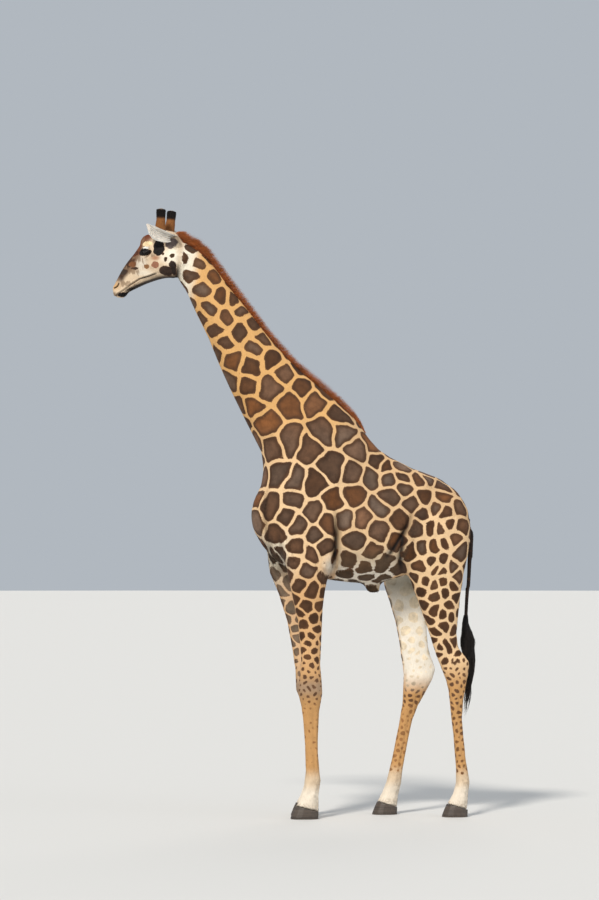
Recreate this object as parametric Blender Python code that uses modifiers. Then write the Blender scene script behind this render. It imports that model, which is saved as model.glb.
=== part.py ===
"""A life-size standing giraffe, an adult bull of the southern kind, as a still museum model.

Metres, +Z up. The body faces -X, its left side is at -Y, and its hooves stand on z = 0.
The flesh is modelled whole: lofts for the neck, trunk, legs and head, with muscles laid on,
are fused by a voxel remesh, smoothed, and then parted with thin cuts into the named parts.
"""

import math

import bmesh
import bpy
import numpy as np
from mathutils import Matrix, Vector

# ---------------------------------------------------------------- driving dimensions (metres)

GAP = 0.0003  # left between neighbouring parts
CUT_GROWTH = 0.0004  # how much a cutter stands outside the part that it makes room for

HEAD_PITCH = math.radians(39)  # the line from poll to muzzle, below the horizontal
HEAD_YAW = math.radians(34)  # the head looks away to the animal's right
HEAD_SIDES = (("left", 1), ("right", -1))  # in the head's own frame, where +Y is its left
POLL = Vector((-1.482, 0.075, 4.650))  # top of the skull, between the ears

OSSICONE_LENGTH = 0.197
OSSICONE_SPREAD = 0.076  # of each base from the middle of the head
EAR_LENGTH = 0.272
EAR_WALL = 0.007
EYE_RADIUS = 0.030
EYE_PLACE = Vector((0.246, 0.0, 0.028))  # in the head's own frame; the side comes from EYE_SPREAD
EYE_SPREAD = 0.093

MANE_WIDTH = 0.050

TAIL_ROOT_LEVEL = 2.280
TUFT_TOP_LEVEL = 1.520

CORONET_TOE = 0.104  # height of the hoof at the toe
CORONET_HEEL = 0.056
CLEFT = 0.010
HOOF_HALF_WIDTH = 0.076

BODY_VOXEL = 0.016
HEAD_VOXEL = 0.007
FUSED_VOXEL = 0.0095
BODY_TRIANGLES = 2150
HEAD_TRIANGLES = 1750

# The neck and trunk, from the poll to the buttocks. Each row is one slice of the body:
# its upper point (x, z), its lower point (x, z), half its width, how far it leans to the
# animal's right, how much narrower it is above than below, and how boxy it is.
TRUNK_SLICES = (
    (-1.420, 4.631, -1.470, 4.280, 0.088, 0.070, 0.00, 2.0),
    (-1.229, 4.500, -1.405, 4.184, 0.100, 0.052, 0.06, 2.0),
    (-1.068, 4.288, -1.332, 4.016, 0.108, 0.032, 0.08, 2.1),
    (-0.912, 4.085, -1.235, 3.816, 0.119, 0.014, 0.10, 2.1),
    (-0.744, 3.862, -1.129, 3.560, 0.137, 0.004, 0.12, 2.1),
    (-0.528, 3.620, -1.007, 3.304, 0.162, 0.000, 0.14, 2.1),
    (-0.275, 3.407, -0.893, 3.080, 0.196, 0.000, 0.16, 2.1),
    (-0.082, 3.243, -0.796, 2.880, 0.228, 0.000, 0.20, 2.1),
    (0.001, 3.153, -0.796, 2.664, 0.250, 0.000, 0.22, 2.1),
    (0.065, 3.062, -0.878, 2.490, 0.262, 0.000, 0.22, 2.1),
    (0.122, 2.991, -0.868, 2.290, 0.268, 0.000, 0.20, 2.2),
    (0.176, 2.939, -0.715, 2.072, 0.280, 0.000, 0.20, 2.2),
    (0.238, 2.893, -0.487, 1.928, 0.300, 0.000, 0.18, 2.2),
    (0.315, 2.859, -0.244, 1.888, 0.322, 0.000, 0.16, 2.2),
    (0.426, 2.799, -0.041, 1.864, 0.338, 0.000, 0.12, 2.2),
    (0.554, 2.755, 0.162, 1.872, 0.340, 0.000, 0.08, 2.2),
    (0.667, 2.709, 0.345, 1.912, 0.322, 0.000, 0.04, 2.2),
    (0.752, 2.632, 0.528, 1.990, 0.292, 0.000, 0.02, 2.2),
    (0.826, 2.500, 0.690, 2.060, 0.250, 0.000, 0.00, 2.2),
    (0.872, 2.370, 0.800, 2.120, 0.170, 0.000, 0.00, 2.0),
)

# Legs, from inside the trunk to the coronet: height, front edge, rear edge, distance of the
# middle from the body's middle, half the thickness.
FORELEG_SLICES = (
    (2.520, -0.640, -0.300, 0.130, 0.070),
    (2.350, -0.700, -0.250, 0.178, 0.098),
    (2.180, -0.694, -0.236, 0.192, 0.108),
    (2.040, -0.650, -0.256, 0.198, 0.106),
    (1.900, -0.618, -0.288, 0.196, 0.098),
    (1.720, -0.576, -0.322, 0.190, 0.086),
    (1.560, -0.540, -0.332, 0.186, 0.078),
    (1.400, -0.521, -0.340, 0.182, 0.071),
    (1.240, -0.512, -0.346, 0.180, 0.066),
    (1.110, -0.524, -0.338, 0.180, 0.068),
    (1.040, -0.534, -0.330, 0.180, 0.074),
    (0.980, -0.530, -0.330, 0.180, 0.073),
    (0.910, -0.512, -0.344, 0.179, 0.063),
    (0.800, -0.497, -0.360, 0.178, 0.051),
    (0.640, -0.483, -0.367, 0.177, 0.045),
    (0.480, -0.475, -0.365, 0.176, 0.046),
    (0.370, -0.472, -0.356, 0.175, 0.055),
    (0.300, -0.478, -0.346, 0.175, 0.062),
    (0.225, -0.492, -0.356, 0.175, 0.056),
    (0.150, -0.522, -0.362, 0.175, 0.062),
    (0.080, -0.562, -0.362, 0.175, 0.070),
    (0.020, -0.592, -0.366, 0.175, 0.072),
)
HIND_LEG_NEAR_SLICES = (
    (2.640, 0.520, 0.760, 0.110, 0.090),
    (2.500, 0.450, 0.850, 0.158, 0.122),
    (2.360, 0.402, 0.880, 0.176, 0.134),
    (2.200, 0.360, 0.884, 0.182, 0.134),
    (2.040, 0.344, 0.850, 0.184, 0.128),
    (1.880, 0.374, 0.814, 0.182, 0.116),
    (1.720, 0.437, 0.790, 0.178, 0.102),
    (1.560, 0.497, 0.772, 0.176, 0.084),
    (1.430, 0.540, 0.764, 0.175, 0.068),
    (1.330, 0.570, 0.792, 0.174, 0.060),
    (1.250, 0.602, 0.862, 0.174, 0.059),
    (1.170, 0.636, 0.866, 0.174, 0.063),
    (1.050, 0.680, 0.838, 0.174, 0.062),
    (0.920, 0.699, 0.815, 0.174, 0.052),
    (0.760, 0.714, 0.808, 0.174, 0.045),
    (0.600, 0.731, 0.822, 0.174, 0.044),
    (0.440, 0.746, 0.839, 0.174, 0.048),
    (0.330, 0.750, 0.858, 0.174, 0.058),
    (0.260, 0.746, 0.866, 0.174, 0.060),
    (0.190, 0.726, 0.856, 0.174, 0.055),
    (0.140, 0.698, 0.852, 0.174, 0.060),
    (0.080, 0.664, 0.848, 0.174, 0.068),
    (0.020, 0.636, 0.845, 0.174, 0.070),
)
HIND_LEG_FAR_SLICES = (
    (2.640, 0.520, 0.760, 0.110, 0.090),
    (2.500, 0.430, 0.840, 0.158, 0.122),
    (2.360, 0.360, 0.862, 0.176, 0.134),
    (2.200, 0.300, 0.840, 0.182, 0.132),
    (2.040, 0.252, 0.772, 0.184, 0.124),
    (1.880, 0.226, 0.700, 0.182, 0.112),
    (1.720, 0.276, 0.638, 0.178, 0.098),
    (1.580, 0.318, 0.606, 0.176, 0.084),
    (1.450, 0.348, 0.594, 0.175, 0.070),
    (1.300, 0.368, 0.618, 0.174, 0.061),
    (1.190, 0.387, 0.660, 0.174, 0.060),
    (1.110, 0.396, 0.652, 0.174, 0.063),
    (1.020, 0.392, 0.606, 0.174, 0.062),
    (0.940, 0.388, 0.560, 0.174, 0.058),
    (0.860, 0.380, 0.514, 0.174, 0.051),
    (0.740, 0.358, 0.470, 0.174, 0.046),
    (0.600, 0.330, 0.440, 0.174, 0.044),
    (0.440, 0.296, 0.408, 0.174, 0.048),
    (0.330, 0.270, 0.388, 0.174, 0.058),
    (0.260, 0.252, 0.382, 0.174, 0.060),
    (0.190, 0.224, 0.364, 0.174, 0.055),
    (0.140, 0.200, 0.352, 0.174, 0.060),
    (0.080, 0.166, 0.346, 0.174, 0.068),
    (0.020, 0.138, 0.342, 0.174, 0.070),
)
# The right foreleg stands with its elbow further forward and its foot further back than the
# left one. Height, and how far back its slices are moved there.
RIGHT_FORELEG_LEAN = ((0.0, 0.064), (0.92, 0.064), (1.04, 0.045), (1.27, 0.004), (1.43, -0.010),
                      (1.56, -0.021), (1.74, -0.036), (1.84, -0.052), (1.94, -0.078), (2.04, -0.072),
                      (2.30, 0.0))

# The head in its own frame: x from the poll to the muzzle, z up off the brow. Each row is
# upper point, lower point, half the width, narrowing above, boxiness.
HEAD_SLICES = (
    (-0.030, 0.022, 0.050, -0.285, 0.074, 0.00, 2.0),
    (0.035, 0.064, 0.140, -0.304, 0.090, 0.00, 2.0),
    (0.105, 0.104, 0.222, -0.268, 0.100, 0.05, 2.1),
    (0.180, 0.136, 0.285, -0.218, 0.104, 0.10, 2.2),
    (0.245, 0.146, 0.335, -0.188, 0.102, 0.12, 2.2),
    (0.310, 0.134, 0.385, -0.164, 0.090, 0.16, 2.2),
    (0.375, 0.121, 0.432, -0.144, 0.075, 0.16, 2.3),
    (0.448, 0.112, 0.490, -0.122, 0.065, 0.12, 2.3),
    (0.516, 0.096, 0.550, -0.102, 0.059, 0.08, 2.4),
    (0.582, 0.073, 0.600, -0.086, 0.057, 0.02, 2.4),
    (0.638, 0.048, 0.645, -0.082, 0.060, -0.05, 2.4),
    (0.690, 0.018, 0.684, -0.072, 0.057, -0.08, 2.3),
    (0.718, -0.020, 0.712, -0.060, 0.040, 0.00, 2.0),
)

# The crest of the neck: x, z and lean of the flesh, and how high the mane stands on it.
MANE_SLICES = (
    (-1.480, 4.640, 0.080, 0.042),
    (-1.420, 4.627, 0.070, 0.062),
    (-1.328, 4.566, 0.062, 0.070),
    (-1.229, 4.493, 0.052, 0.062),
    (-1.068, 4.283, 0.032, 0.056),
    (-0.912, 4.080, 0.014, 0.050),
    (-0.744, 3.859, 0.004, 0.048),
    (-0.528, 3.618, 0.000, 0.052),
    (-0.275, 3.405, 0.000, 0.062),
    (-0.082, 3.243, 0.000, 0.050),
    (0.001, 3.153, 0.000, 0.027),
    (0.052, 3.076, 0.000, 0.006),
)
TAIL_PATH = ((0.840, 2.480), (0.884, 2.400), (0.908, 2.320), (0.917, 2.240), (0.912, 2.100),
             (0.898, 1.900), (0.880, 1.700), (0.868, 1.520), (0.872, 1.440))
TAIL_RADII = (0.046, 0.040, 0.034, 0.030, 0.027, 0.024, 0.022, 0.021, 0.020)
TUFT_PATH = ((0.868, 1.530), (0.880, 1.460), (0.892, 1.390), (0.894, 1.290), (0.904, 1.200),
             (0.900, 1.080), (0.892, 0.950), (0.872, 0.820), (0.860, 0.760))
TUFT_RADII = (0.024, 0.050, 0.064, 0.056, 0.040, 0.030, 0.027, 0.018, 0.006)

COLOURS = {
    "coat": ((0.42, 0.24, 0.11), 0.75),
    "dark_hair": ((0.02, 0.015, 0.012), 0.7),
    "mane_hair": ((0.25, 0.09, 0.035), 0.8),
    "horn": ((0.10, 0.075, 0.055), 0.5),
    "eye": ((0.02, 0.012, 0.008), 0.1),
    "ear": ((0.72, 0.64, 0.52), 0.8),
}


# ---------------------------------------------------------------- small tools


def clear_scene():
    for obj in list(bpy.data.objects):
        bpy.data.objects.remove(obj)


def material(name, slot):
    colour, roughness = COLOURS[slot]
    made = bpy.data.materials.new(name)
    made.use_nodes = True
    shader = made.node_tree.nodes["Principled BSDF"]
    shader.inputs["Base Color"].default_value = (*colour, 1)
    shader.inputs["Roughness"].default_value = roughness
    shader.inputs["Metallic"].default_value = 0.0
    return made


def link(mesh, name):
    obj = bpy.data.objects.new(name, mesh)
    bpy.context.scene.collection.objects.link(obj)
    return obj


def baked(obj, name=None):
    """A plain mesh object with obj's modifiers applied. It takes obj's place."""
    bpy.context.view_layer.update()
    graph = bpy.context.evaluated_depsgraph_get()
    mesh = bpy.data.meshes.new_from_object(obj.evaluated_get(graph))
    mesh.transform(obj.matrix_world)
    name = name or obj.name
    bpy.data.objects.remove(obj)
    return link(mesh, name)


def fused(objects, name, voxel):
    """The objects' shapes melted into one closed skin by a voxel remesh."""
    together = bmesh.new()
    for obj in objects:
        together.from_mesh(obj.data)
        bpy.data.objects.remove(obj)
    mesh = bpy.data.meshes.new(name)
    together.to_mesh(mesh)
    together.free()
    obj = link(mesh, name)
    remesh = obj.modifiers.new("melt", "REMESH")
    remesh.mode = "VOXEL"
    remesh.voxel_size = voxel
    return largest_body(baked(obj))


def largest_body(obj):
    """Drops stray bits, keeping the biggest connected shape."""
    shape = bmesh.new()
    shape.from_mesh(obj.data)
    unseen = set(shape.verts)
    bodies = []
    while unseen:
        front = [unseen.pop()]
        body = list(front)
        while front:
            near = {edge.other_vert(vert) for vert in front for edge in vert.link_edges}
            front = list(near & unseen)
            unseen -= near
            body += front
        bodies.append(body)
    bodies.sort(key=len)
    for body in bodies[:-1]:
        bmesh.ops.delete(shape, geom=body, context="VERTS")
    shape.to_mesh(obj.data)
    shape.free()
    return obj


def relax(obj, rounds, back=-0.53, weight=None):
    """Smooths the skin: each round pulls every point towards its neighbours and then pushes it
    back a little further, so that nothing shrinks. With back=0 it melts creases for good."""
    mesh = obj.data
    points = np.empty(len(mesh.vertices) * 3)
    mesh.vertices.foreach_get("co", points)
    points = points.reshape(-1, 3)
    ends = np.empty(len(mesh.edges) * 2, np.int32)
    mesh.edges.foreach_get("vertices", ends)
    first, second = ends.reshape(-1, 2).T
    count = np.bincount(ends, minlength=len(points))[:, None]
    share = 1.0 if weight is None else weight(points)[:, None]
    for _ in range(rounds):
        for step in (0.5, back):
            total = np.zeros_like(points)
            for axis in range(3):
                total[:, axis] = np.bincount(first, points[second, axis], len(points))
                total[:, axis] += np.bincount(second, points[first, axis], len(points))
            points += step * share * (total / count - points)
    mesh.vertices.foreach_set("co", points.ravel())
    mesh.update()
    return obj


def ramp(values, low, high):
    """0 below low, 1 above high, and a smooth rise between."""
    share = np.clip((values - low) / (high - low), 0, 1)
    return share * share * (3 - 2 * share)


def swelled(obj, forms):
    """Raises or sinks the skin in soft ovals, on both sides of the body. Each form is its place
    in the side view, its half width and half length, its lean, and how far it stands out."""
    mesh = obj.data
    points, normals = np.empty(len(mesh.vertices) * 3), np.empty(len(mesh.vertices) * 3)
    mesh.vertices.foreach_get("co", points)
    mesh.vertices.foreach_get("normal", normals)
    points, normals = points.reshape(-1, 3), normals.reshape(-1, 3)
    outward = ramp(normals[:, 1] * np.sign(points[:, 1]), 0.05, 0.60)
    moved = points.copy()
    for _, x, z, half_width, half_length, lean, height in forms:
        turn = math.radians(lean)
        right, up = points[:, 0] - x, points[:, 2] - z
        across = (right * math.cos(turn) - up * math.sin(turn)) / half_width
        along = (right * math.sin(turn) + up * math.cos(turn)) / half_length
        amount = height * np.exp(-1.4 * (across ** 2 + along ** 2)) * outward
        moved += normals * amount[:, None]
    mesh.vertices.foreach_set("co", moved.ravel())
    mesh.update()
    return obj


def thinned(obj, chosen, target):
    """Decimates only the chosen vertices' region, down to about target triangles there."""
    group = obj.vertex_groups.new(name="thin")
    group.add([vert.index for vert in obj.data.vertices if chosen(vert.co)], 1.0, "REPLACE")
    inside = sum(
        all(chosen(obj.data.vertices[i].co) for i in face.vertices) * (len(face.vertices) - 2)
        for face in obj.data.polygons
    )
    total = sum(len(face.vertices) - 2 for face in obj.data.polygons)
    thin = obj.modifiers.new("thin", "DECIMATE")
    thin.ratio = (total - inside + target) / total
    thin.vertex_group = group.name
    thin.vertex_group_factor = 1.0
    return baked(obj)


def curve_rows(rows, between):
    """Rows of numbers with `between` more put in along a smooth curve through each pair."""
    rows = [np.array(row, float) for row in rows]
    padded = [2 * rows[0] - rows[1], *rows, 2 * rows[-1] - rows[-2]]
    smooth = []
    for before, start, end, after in zip(padded, padded[1:], padded[2:], padded[3:]):
        for step in range(between + 1):
            t = step / (between + 1)
            smooth.append(
                0.5 * (2 * start + (end - before) * t
                       + (2 * before - 5 * start + 4 * end - after) * t * t
                       + (3 * start - before - 3 * end + after) * t ** 3)
            )
    return [*smooth, rows[-1]]


def oval(centre, up, side, narrowing, boxiness, sides):
    """A ring of points: an ellipse made boxier, and narrower towards `up`."""
    ring = []
    for i in range(sides):
        angle = math.tau * i / sides
        height = math.copysign(abs(math.cos(angle)) ** (2 / boxiness), math.cos(angle))
        width = math.copysign(abs(math.sin(angle)) ** (2 / boxiness), math.sin(angle))
        ring.append(centre + up * height + side * (width * (1 - narrowing * height)))
    return ring


def loft(name, rings):
    """A closed skin through rings of points, one after another."""
    shape = bmesh.new()
    loops = [[shape.verts.new(point) for point in ring] for ring in rings]
    for here, beyond in zip(loops, loops[1:]):
        for i, vert in enumerate(here):
            after = (i + 1) % len(here)
            shape.faces.new((vert, here[after], beyond[after], beyond[i]))
    shape.faces.new(loops[0][::-1])
    shape.faces.new(loops[-1])
    bmesh.ops.recalc_face_normals(shape, faces=shape.faces)
    mesh = bpy.data.meshes.new(name)
    shape.to_mesh(mesh)
    shape.free()
    return link(mesh, name)


def muscle(name, place, radii, turn=None):
    """An ellipsoid at `place`, turned by the rotation matrix `turn`."""
    shape = bmesh.new()
    matrix = Matrix.Translation(place) @ (turn or Matrix()) @ Matrix.Diagonal((*radii, 1))
    bmesh.ops.create_uvsphere(shape, u_segments=24, v_segments=16, radius=1, matrix=matrix)
    mesh = bpy.data.meshes.new(name)
    shape.to_mesh(mesh)
    shape.free()
    return link(mesh, name)


def tube(name, path, radii, sides=16):
    """A round limb along (x, z) points in the body's middle plane."""
    rows = curve_rows([(*point, radius) for point, radius in zip(path, radii)], 0)
    rings = []
    for i, (x, z, radius) in enumerate(rows):
        before, after = rows[max(i - 1, 0)], rows[min(i + 1, len(rows) - 1)]
        along = Vector((after[0] - before[0], 0, after[1] - before[1])).normalized()
        side = Vector((0, 1, 0))
        rings.append(oval(Vector((x, 0, z)), side.cross(along) * radius, side * radius, 0, 2, sides))
    return loft(name, rings)


def boolean(obj, cutter, operation):
    """obj cut by, joined to or kept inside the cutter. The cutter stays."""
    change = obj.modifiers.new(operation.lower(), "BOOLEAN")
    change.operation = operation
    change.object = cutter
    change.solver = "EXACT"
    return baked(obj)


def copied(obj, name):
    return link(obj.data.copy(), name)


def grown(obj, by):
    """A copy whose skin stands `by` outside obj's."""
    copy = copied(obj, obj.name + "_grown")
    swell = copy.modifiers.new("swell", "DISPLACE")
    swell.strength = by
    swell.mid_level = 0.0
    return baked(copy)


def without(obj, other, by=CUT_GROWTH):
    """obj with room for `other` cut out of it."""
    cutter = grown(other, by)
    cut = boolean(obj, cutter, "DIFFERENCE")
    bpy.data.objects.remove(cutter)
    return largest_body(cut)


def sliced(obj, name_above, name_below, point, normal):
    """Two closed parts, above and below a plane, half a GAP each side of it."""
    normal = Vector(normal).normalized()
    whole = obj.data
    bpy.data.objects.remove(obj)
    parts = []
    for name, way in ((name_above, 1), (name_below, -1)):
        shape = bmesh.new()
        shape.from_mesh(whole)
        flat = bmesh.ops.bisect_plane(
            shape,
            geom=[*shape.verts, *shape.edges, *shape.faces],
            dist=1e-7,
            plane_co=Vector(point) + normal * way * GAP / 2,
            plane_no=normal * way,
            clear_inner=True,
        )
        rim = [item for item in flat["geom_cut"] if isinstance(item, bmesh.types.BMEdge)]
        bmesh.ops.holes_fill(shape, edges=rim, sides=0)
        bmesh.ops.triangulate(shape, faces=[face for face in shape.faces if len(face.verts) > 4])
        mesh = bpy.data.meshes.new(name)
        shape.to_mesh(mesh)
        shape.free()
        parts.append(largest_body(link(mesh, name)))
    return parts


# Muscles and hollows of both sides, in the side view: place x, z, half width, half length,
# degrees that the long axis leans back at its top, and how far it stands out of the body.
FORMS = (
    ("shoulder blade", -0.200, 2.720, 0.090, 0.400, 38, 0.016),
    ("blade spine", -0.090, 2.860, 0.050, 0.240, 38, 0.008),
    ("point of the shoulder", -0.610, 2.400, 0.130, 0.150, -10, 0.022),
    ("arm", -0.480, 2.220, 0.110, 0.240, -20, 0.018),
    ("behind the shoulder", -0.200, 2.300, 0.060, 0.330, -6, -0.018),
    ("neck base", -0.640, 2.960, 0.090, 0.400, 34, 0.012),
    ("jugular groove", -0.800, 2.880, 0.035, 0.420, 28, -0.010),
    ("ribs", 0.080, 2.280, 0.300, 0.280, 0, 0.016),
    ("flank hollow", 0.400, 2.470, 0.090, 0.150, -20, -0.016),
    ("hip bone", 0.500, 2.640, 0.070, 0.070, 0, 0.022),
    ("haunch", 0.640, 2.360, 0.150, 0.260, -12, 0.014),
    ("buttock", 0.810, 2.240, 0.050, 0.240, -4, 0.010),
    ("stifle", 0.440, 2.060, 0.090, 0.120, 30, 0.012),
    ("elbow", -0.330, 1.990, 0.060, 0.080, 0, 0.014),
)


# ---------------------------------------------------------------- frames


def head_matrix():
    """From the head's own frame (x to the muzzle, y to its left, z off the brow) to the body's."""
    sin, cos = math.sin(HEAD_PITCH), math.cos(HEAD_PITCH)
    to_muzzle, off_brow = Vector((-cos, 0, -sin)), Vector((-sin, 0, cos))
    to_left = off_brow.cross(to_muzzle)
    pitched = Matrix((to_muzzle, to_left, off_brow)).transposed().to_4x4()
    return Matrix.Translation(POLL) @ Matrix.Rotation(-HEAD_YAW, 4, "Z") @ pitched


# ---------------------------------------------------------------- flesh


def trunk_and_neck():
    rings = []
    for top_x, top_z, low_x, low_z, half_width, lean, narrowing, boxiness in curve_rows(TRUNK_SLICES, 2):
        top, low = Vector((top_x, lean, top_z)), Vector((low_x, lean, low_z))
        side = Matrix.Rotation(-lean * 4.5, 3, "Z") @ Vector((0, half_width, 0))
        rings.append(oval((top + low) / 2, (top - low) / 2, side, narrowing, boxiness, 32))
    return loft("trunk_and_neck", rings)


def lean_at(leans, height):
    levels, moves = zip(*leans)
    return float(np.interp(height, levels, moves))


def leg(name, slices, side, leans=((0.0, 0.0),)):
    rings = []
    for height, front, rear, spread, thickness in curve_rows(slices, 2):
        lean = lean_at(leans, height)
        centre = Vector(((front + rear) / 2 + lean, side * spread, height))
        rings.append(oval(centre, Vector(((rear - front) / 2, 0, 0)), Vector((0, thickness, 0)),
                          0.12, 2.2, 20))
    return loft(name, rings)


def head_flesh():
    rings = []
    for top_x, top_z, low_x, low_z, half_width, narrowing, boxiness in curve_rows(HEAD_SLICES, 3):
        top, low = Vector((top_x, 0, top_z)), Vector((low_x, 0, low_z))
        side = Vector((0, half_width, 0))
        rings.append(oval((top + low) / 2, (top - low) / 2, side, narrowing, boxiness, 32))
    shapes = [loft("head", rings), muscle("brow_lump", (0.222, 0, 0.126), (0.068, 0.050, 0.048))]
    for side in (-1, 1):
        shapes += [
            muscle("cheek", (0.225, side * 0.064, -0.115), (0.115, 0.040, 0.085)),
            muscle("orbit", (EYE_PLACE.x, side * 0.082, EYE_PLACE.z + 0.006), (0.062, 0.028, 0.046)),
            muscle("cheekbone", (0.330, side * 0.068, -0.026), (0.110, 0.022, 0.026),
                   Matrix.Rotation(math.radians(8), 4, "Y")),
            muscle("skull", (0.080, side * 0.058, 0.030), (0.090, 0.044, 0.070)),
            muscle("horn_base", (0.092, side * OSSICONE_SPREAD, 0.052), (0.060, 0.046, 0.060)),
            muscle("nostril", (0.652, side * 0.038, 0.000), (0.044, 0.026, 0.030)),
            muscle("lip", (0.664, side * 0.034, -0.038), (0.042, 0.028, 0.028)),
        ]
    shapes.append(muscle("chin", (0.652, 0, -0.065), (0.044, 0.042, 0.026)))
    for shape in shapes:
        shape.data.transform(head_matrix())
    return shapes


def sheath():
    """The small fold of skin under the belly of a bull."""
    return muscle("sheath", (0.105, 0, 1.838), (0.075, 0.045, 0.060),
                  Matrix.Rotation(math.radians(20), 4, "Y"))


def tail_stub():
    shown = [i for i, (_, level) in enumerate(TAIL_PATH) if level > TAIL_ROOT_LEVEL - 0.08]
    return tube("tail_stub", [TAIL_PATH[i] for i in shown], [TAIL_RADII[i] for i in shown])


def whole_flesh():
    body = [trunk_and_neck(), sheath(), tail_stub()]
    body.append(leg("foreleg_left", FORELEG_SLICES, -1))
    body.append(leg("foreleg_right", FORELEG_SLICES, 1, RIGHT_FORELEG_LEAN))
    body.append(leg("hind_leg_left", HIND_LEG_NEAR_SLICES, -1))
    body.append(leg("hind_leg_right", HIND_LEG_FAR_SLICES, 1))
    body = relax(fused(body, "body", BODY_VOXEL), 8)
    body = relax(body, 26, 0.0, lambda points: ramp(points[:, 2], 1.72, 2.15))
    body = relax(swelled(body, FORMS), 6)
    head = relax(relax(fused(head_flesh(), "head", HEAD_VOXEL), 5, 0.0), 4)
    flesh = relax(fused([body, head], "flesh", FUSED_VOXEL), 3)
    to_head = head_matrix().inverted()

    def at_nape(points):
        turn = np.array(to_head.to_3x3())
        along = (points @ turn.T + np.array(to_head.translation))[:, 0]
        return (1 - ramp(along, 0.06, 0.17)) * ramp(points[:, 2], 4.00, 4.20)

    flesh = relax(flesh, 60, 0.0, at_nape)

    def in_head(point):
        place = to_head @ point
        return place.x > 0.02 and place.z > -0.30

    flesh = thinned(flesh, lambda point: not in_head(point), BODY_TRIANGLES)
    return thinned(flesh, in_head, HEAD_TRIANGLES)


# ---------------------------------------------------------------- the parts


def block(name, outline, near, far):
    """A wedge: an (x, z) outline run from side distance `near` to `far`, which may be functions
    of height, so that its inner face can slope."""
    rings = [[Vector((x, depth(z), z)) for x, z in outline] for depth in (near, far)]
    return loft(name, rings)


def flat(value):
    return lambda _: value


def part_leg(flesh, name, side, x_range, slope, top_inner, top_outer):
    """Cuts a leg off the flesh below a plane that rises from the crotch to the outer hip. The
    front of the cut leans back by `slope` as it rises."""
    inner, outer = 0.030, 0.60
    results = []
    for growth in (0.0, GAP):
        low_x, high_x = x_range[0] - growth, x_range[1] + growth
        rings = []
        for x, lean in ((low_x, slope), (high_x, 0.0)):
            corners = (
                (inner - growth, -0.1),
                (inner - growth, top_inner + growth),
                (outer, top_outer + growth),
                (outer, -0.1),
            )
            rings.append([Vector((x + lean * (z - top_inner), side * y, z)) for y, z in corners])
        results.append(loft(name + "_cutter", rings))
    exact, roomy = results
    leg_part = largest_body(boolean(copied(flesh, name), exact, "INTERSECT"))
    rest = largest_body(boolean(flesh, roomy, "DIFFERENCE"))
    for cutter in results:
        bpy.data.objects.remove(cutter)
    return rest, leg_part


def hoof_pair(name, slices, side, set_back, plane_point, plane_normal):
    """Two claws, from the floor to the coronet."""
    toe, heel, spread = slices[-1][1] + set_back, slices[-1][2] + set_back, slices[-1][3]
    profile = (  # height, toe moved back, heel moved back, share of the half width
        (0.0, 0.000, 0.000, 0.98),
        (0.012, 0.001, 0.000, 1.00),
        (0.060, 0.020, 0.002, 0.95),
        (0.130, 0.054, 0.006, 0.88),
    )
    rings = []
    for height, toe_back, heel_back, share in profile:
        front, rear = toe + toe_back, heel + heel_back
        centre = Vector(((front + rear) / 2, side * spread, height))
        rings.append(oval(centre, Vector(((rear - front) / 2, 0, 0)),
                          Vector((0, HOOF_HALF_WIDTH * share, 0)), -0.12, 2.5, 14))
    hoof = loft(name, rings)
    spare, hoof = sliced(hoof, name + "_spare", name, plane_point, plane_normal)
    bpy.data.objects.remove(spare)
    claws = []
    for claw, way in (("inner", -side), ("outer", side)):
        cut = copied(hoof, f"{name}_{claw}")
        away, cut = sliced(cut, "away", f"{name}_{claw}",
                           (0, side * spread + way * (CLEFT + GAP) / 2, 0), (0, -way, 0))
        bpy.data.objects.remove(away)
        claws.append(cut)
    bpy.data.objects.remove(hoof)
    return claws


def leg_parts(leg_part, prefix, slices, side, joint_levels, set_back=0.0):
    """One leg parted at its joints, with its two claws."""
    upper_name, cannon_name, foot_name = (f"{prefix}_{word}" for word in ("upper_leg", "cannon", "foot"))
    upper, lower = sliced(leg_part, upper_name, "lower", (0, 0, joint_levels[0]), (0, 0, 1))
    cannon, foot = sliced(lower, cannon_name, "foot", (0, 0, joint_levels[1]), (0, 0, 1))
    toe, heel = slices[-1][1] + set_back, slices[-1][2] + set_back
    point = Vector((toe + 0.045, 0, CORONET_TOE))
    along = Vector((heel, 0, CORONET_HEEL)) - point
    normal = Vector((-along.z, 0, along.x)).normalized()
    foot, spare = sliced(foot, foot_name, "spare", point, normal)
    bpy.data.objects.remove(spare)
    claws = hoof_pair(f"{prefix}_hoof", slices, side, set_back, point, normal)
    return [upper, cannon, foot], claws


def head_parts(head):
    """The lower jaw cut along the mouth, and the sockets for the eyes."""
    to_body = head_matrix()
    parts = {}
    for growth in (0.0, GAP):
        outline = (
            (0.800, -0.010 + growth),
            (0.690, -0.048 + growth),
            (0.520, -0.082 + growth),
            (0.300 - growth, -0.120 + growth),
            (0.270 - growth, -0.400),
            (0.800, -0.400),
        )
        parts[growth] = block("jaw_cutter", outline, flat(-0.3), flat(0.3))
        parts[growth].data.transform(to_body)
    jaw = largest_body(boolean(copied(head, "lower_jaw"), parts[0.0], "INTERSECT"))
    head = largest_body(boolean(head, parts[GAP], "DIFFERENCE"))
    for cutter in parts.values():
        bpy.data.objects.remove(cutter)
    eyes = []
    for name, side in HEAD_SIDES:
        shape = bmesh.new()
        place = EYE_PLACE + Vector((0, side * EYE_SPREAD, 0))
        bmesh.ops.create_icosphere(shape, subdivisions=2, radius=EYE_RADIUS, matrix=Matrix.Translation(place))
        mesh = bpy.data.meshes.new(f"eye_{name}")
        shape.to_mesh(mesh)
        shape.free()
        mesh.transform(to_body)
        eye = link(mesh, f"eye_{name}")
        head = without(head, eye)
        eyes.append(eye)
    return head, jaw, eyes


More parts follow.
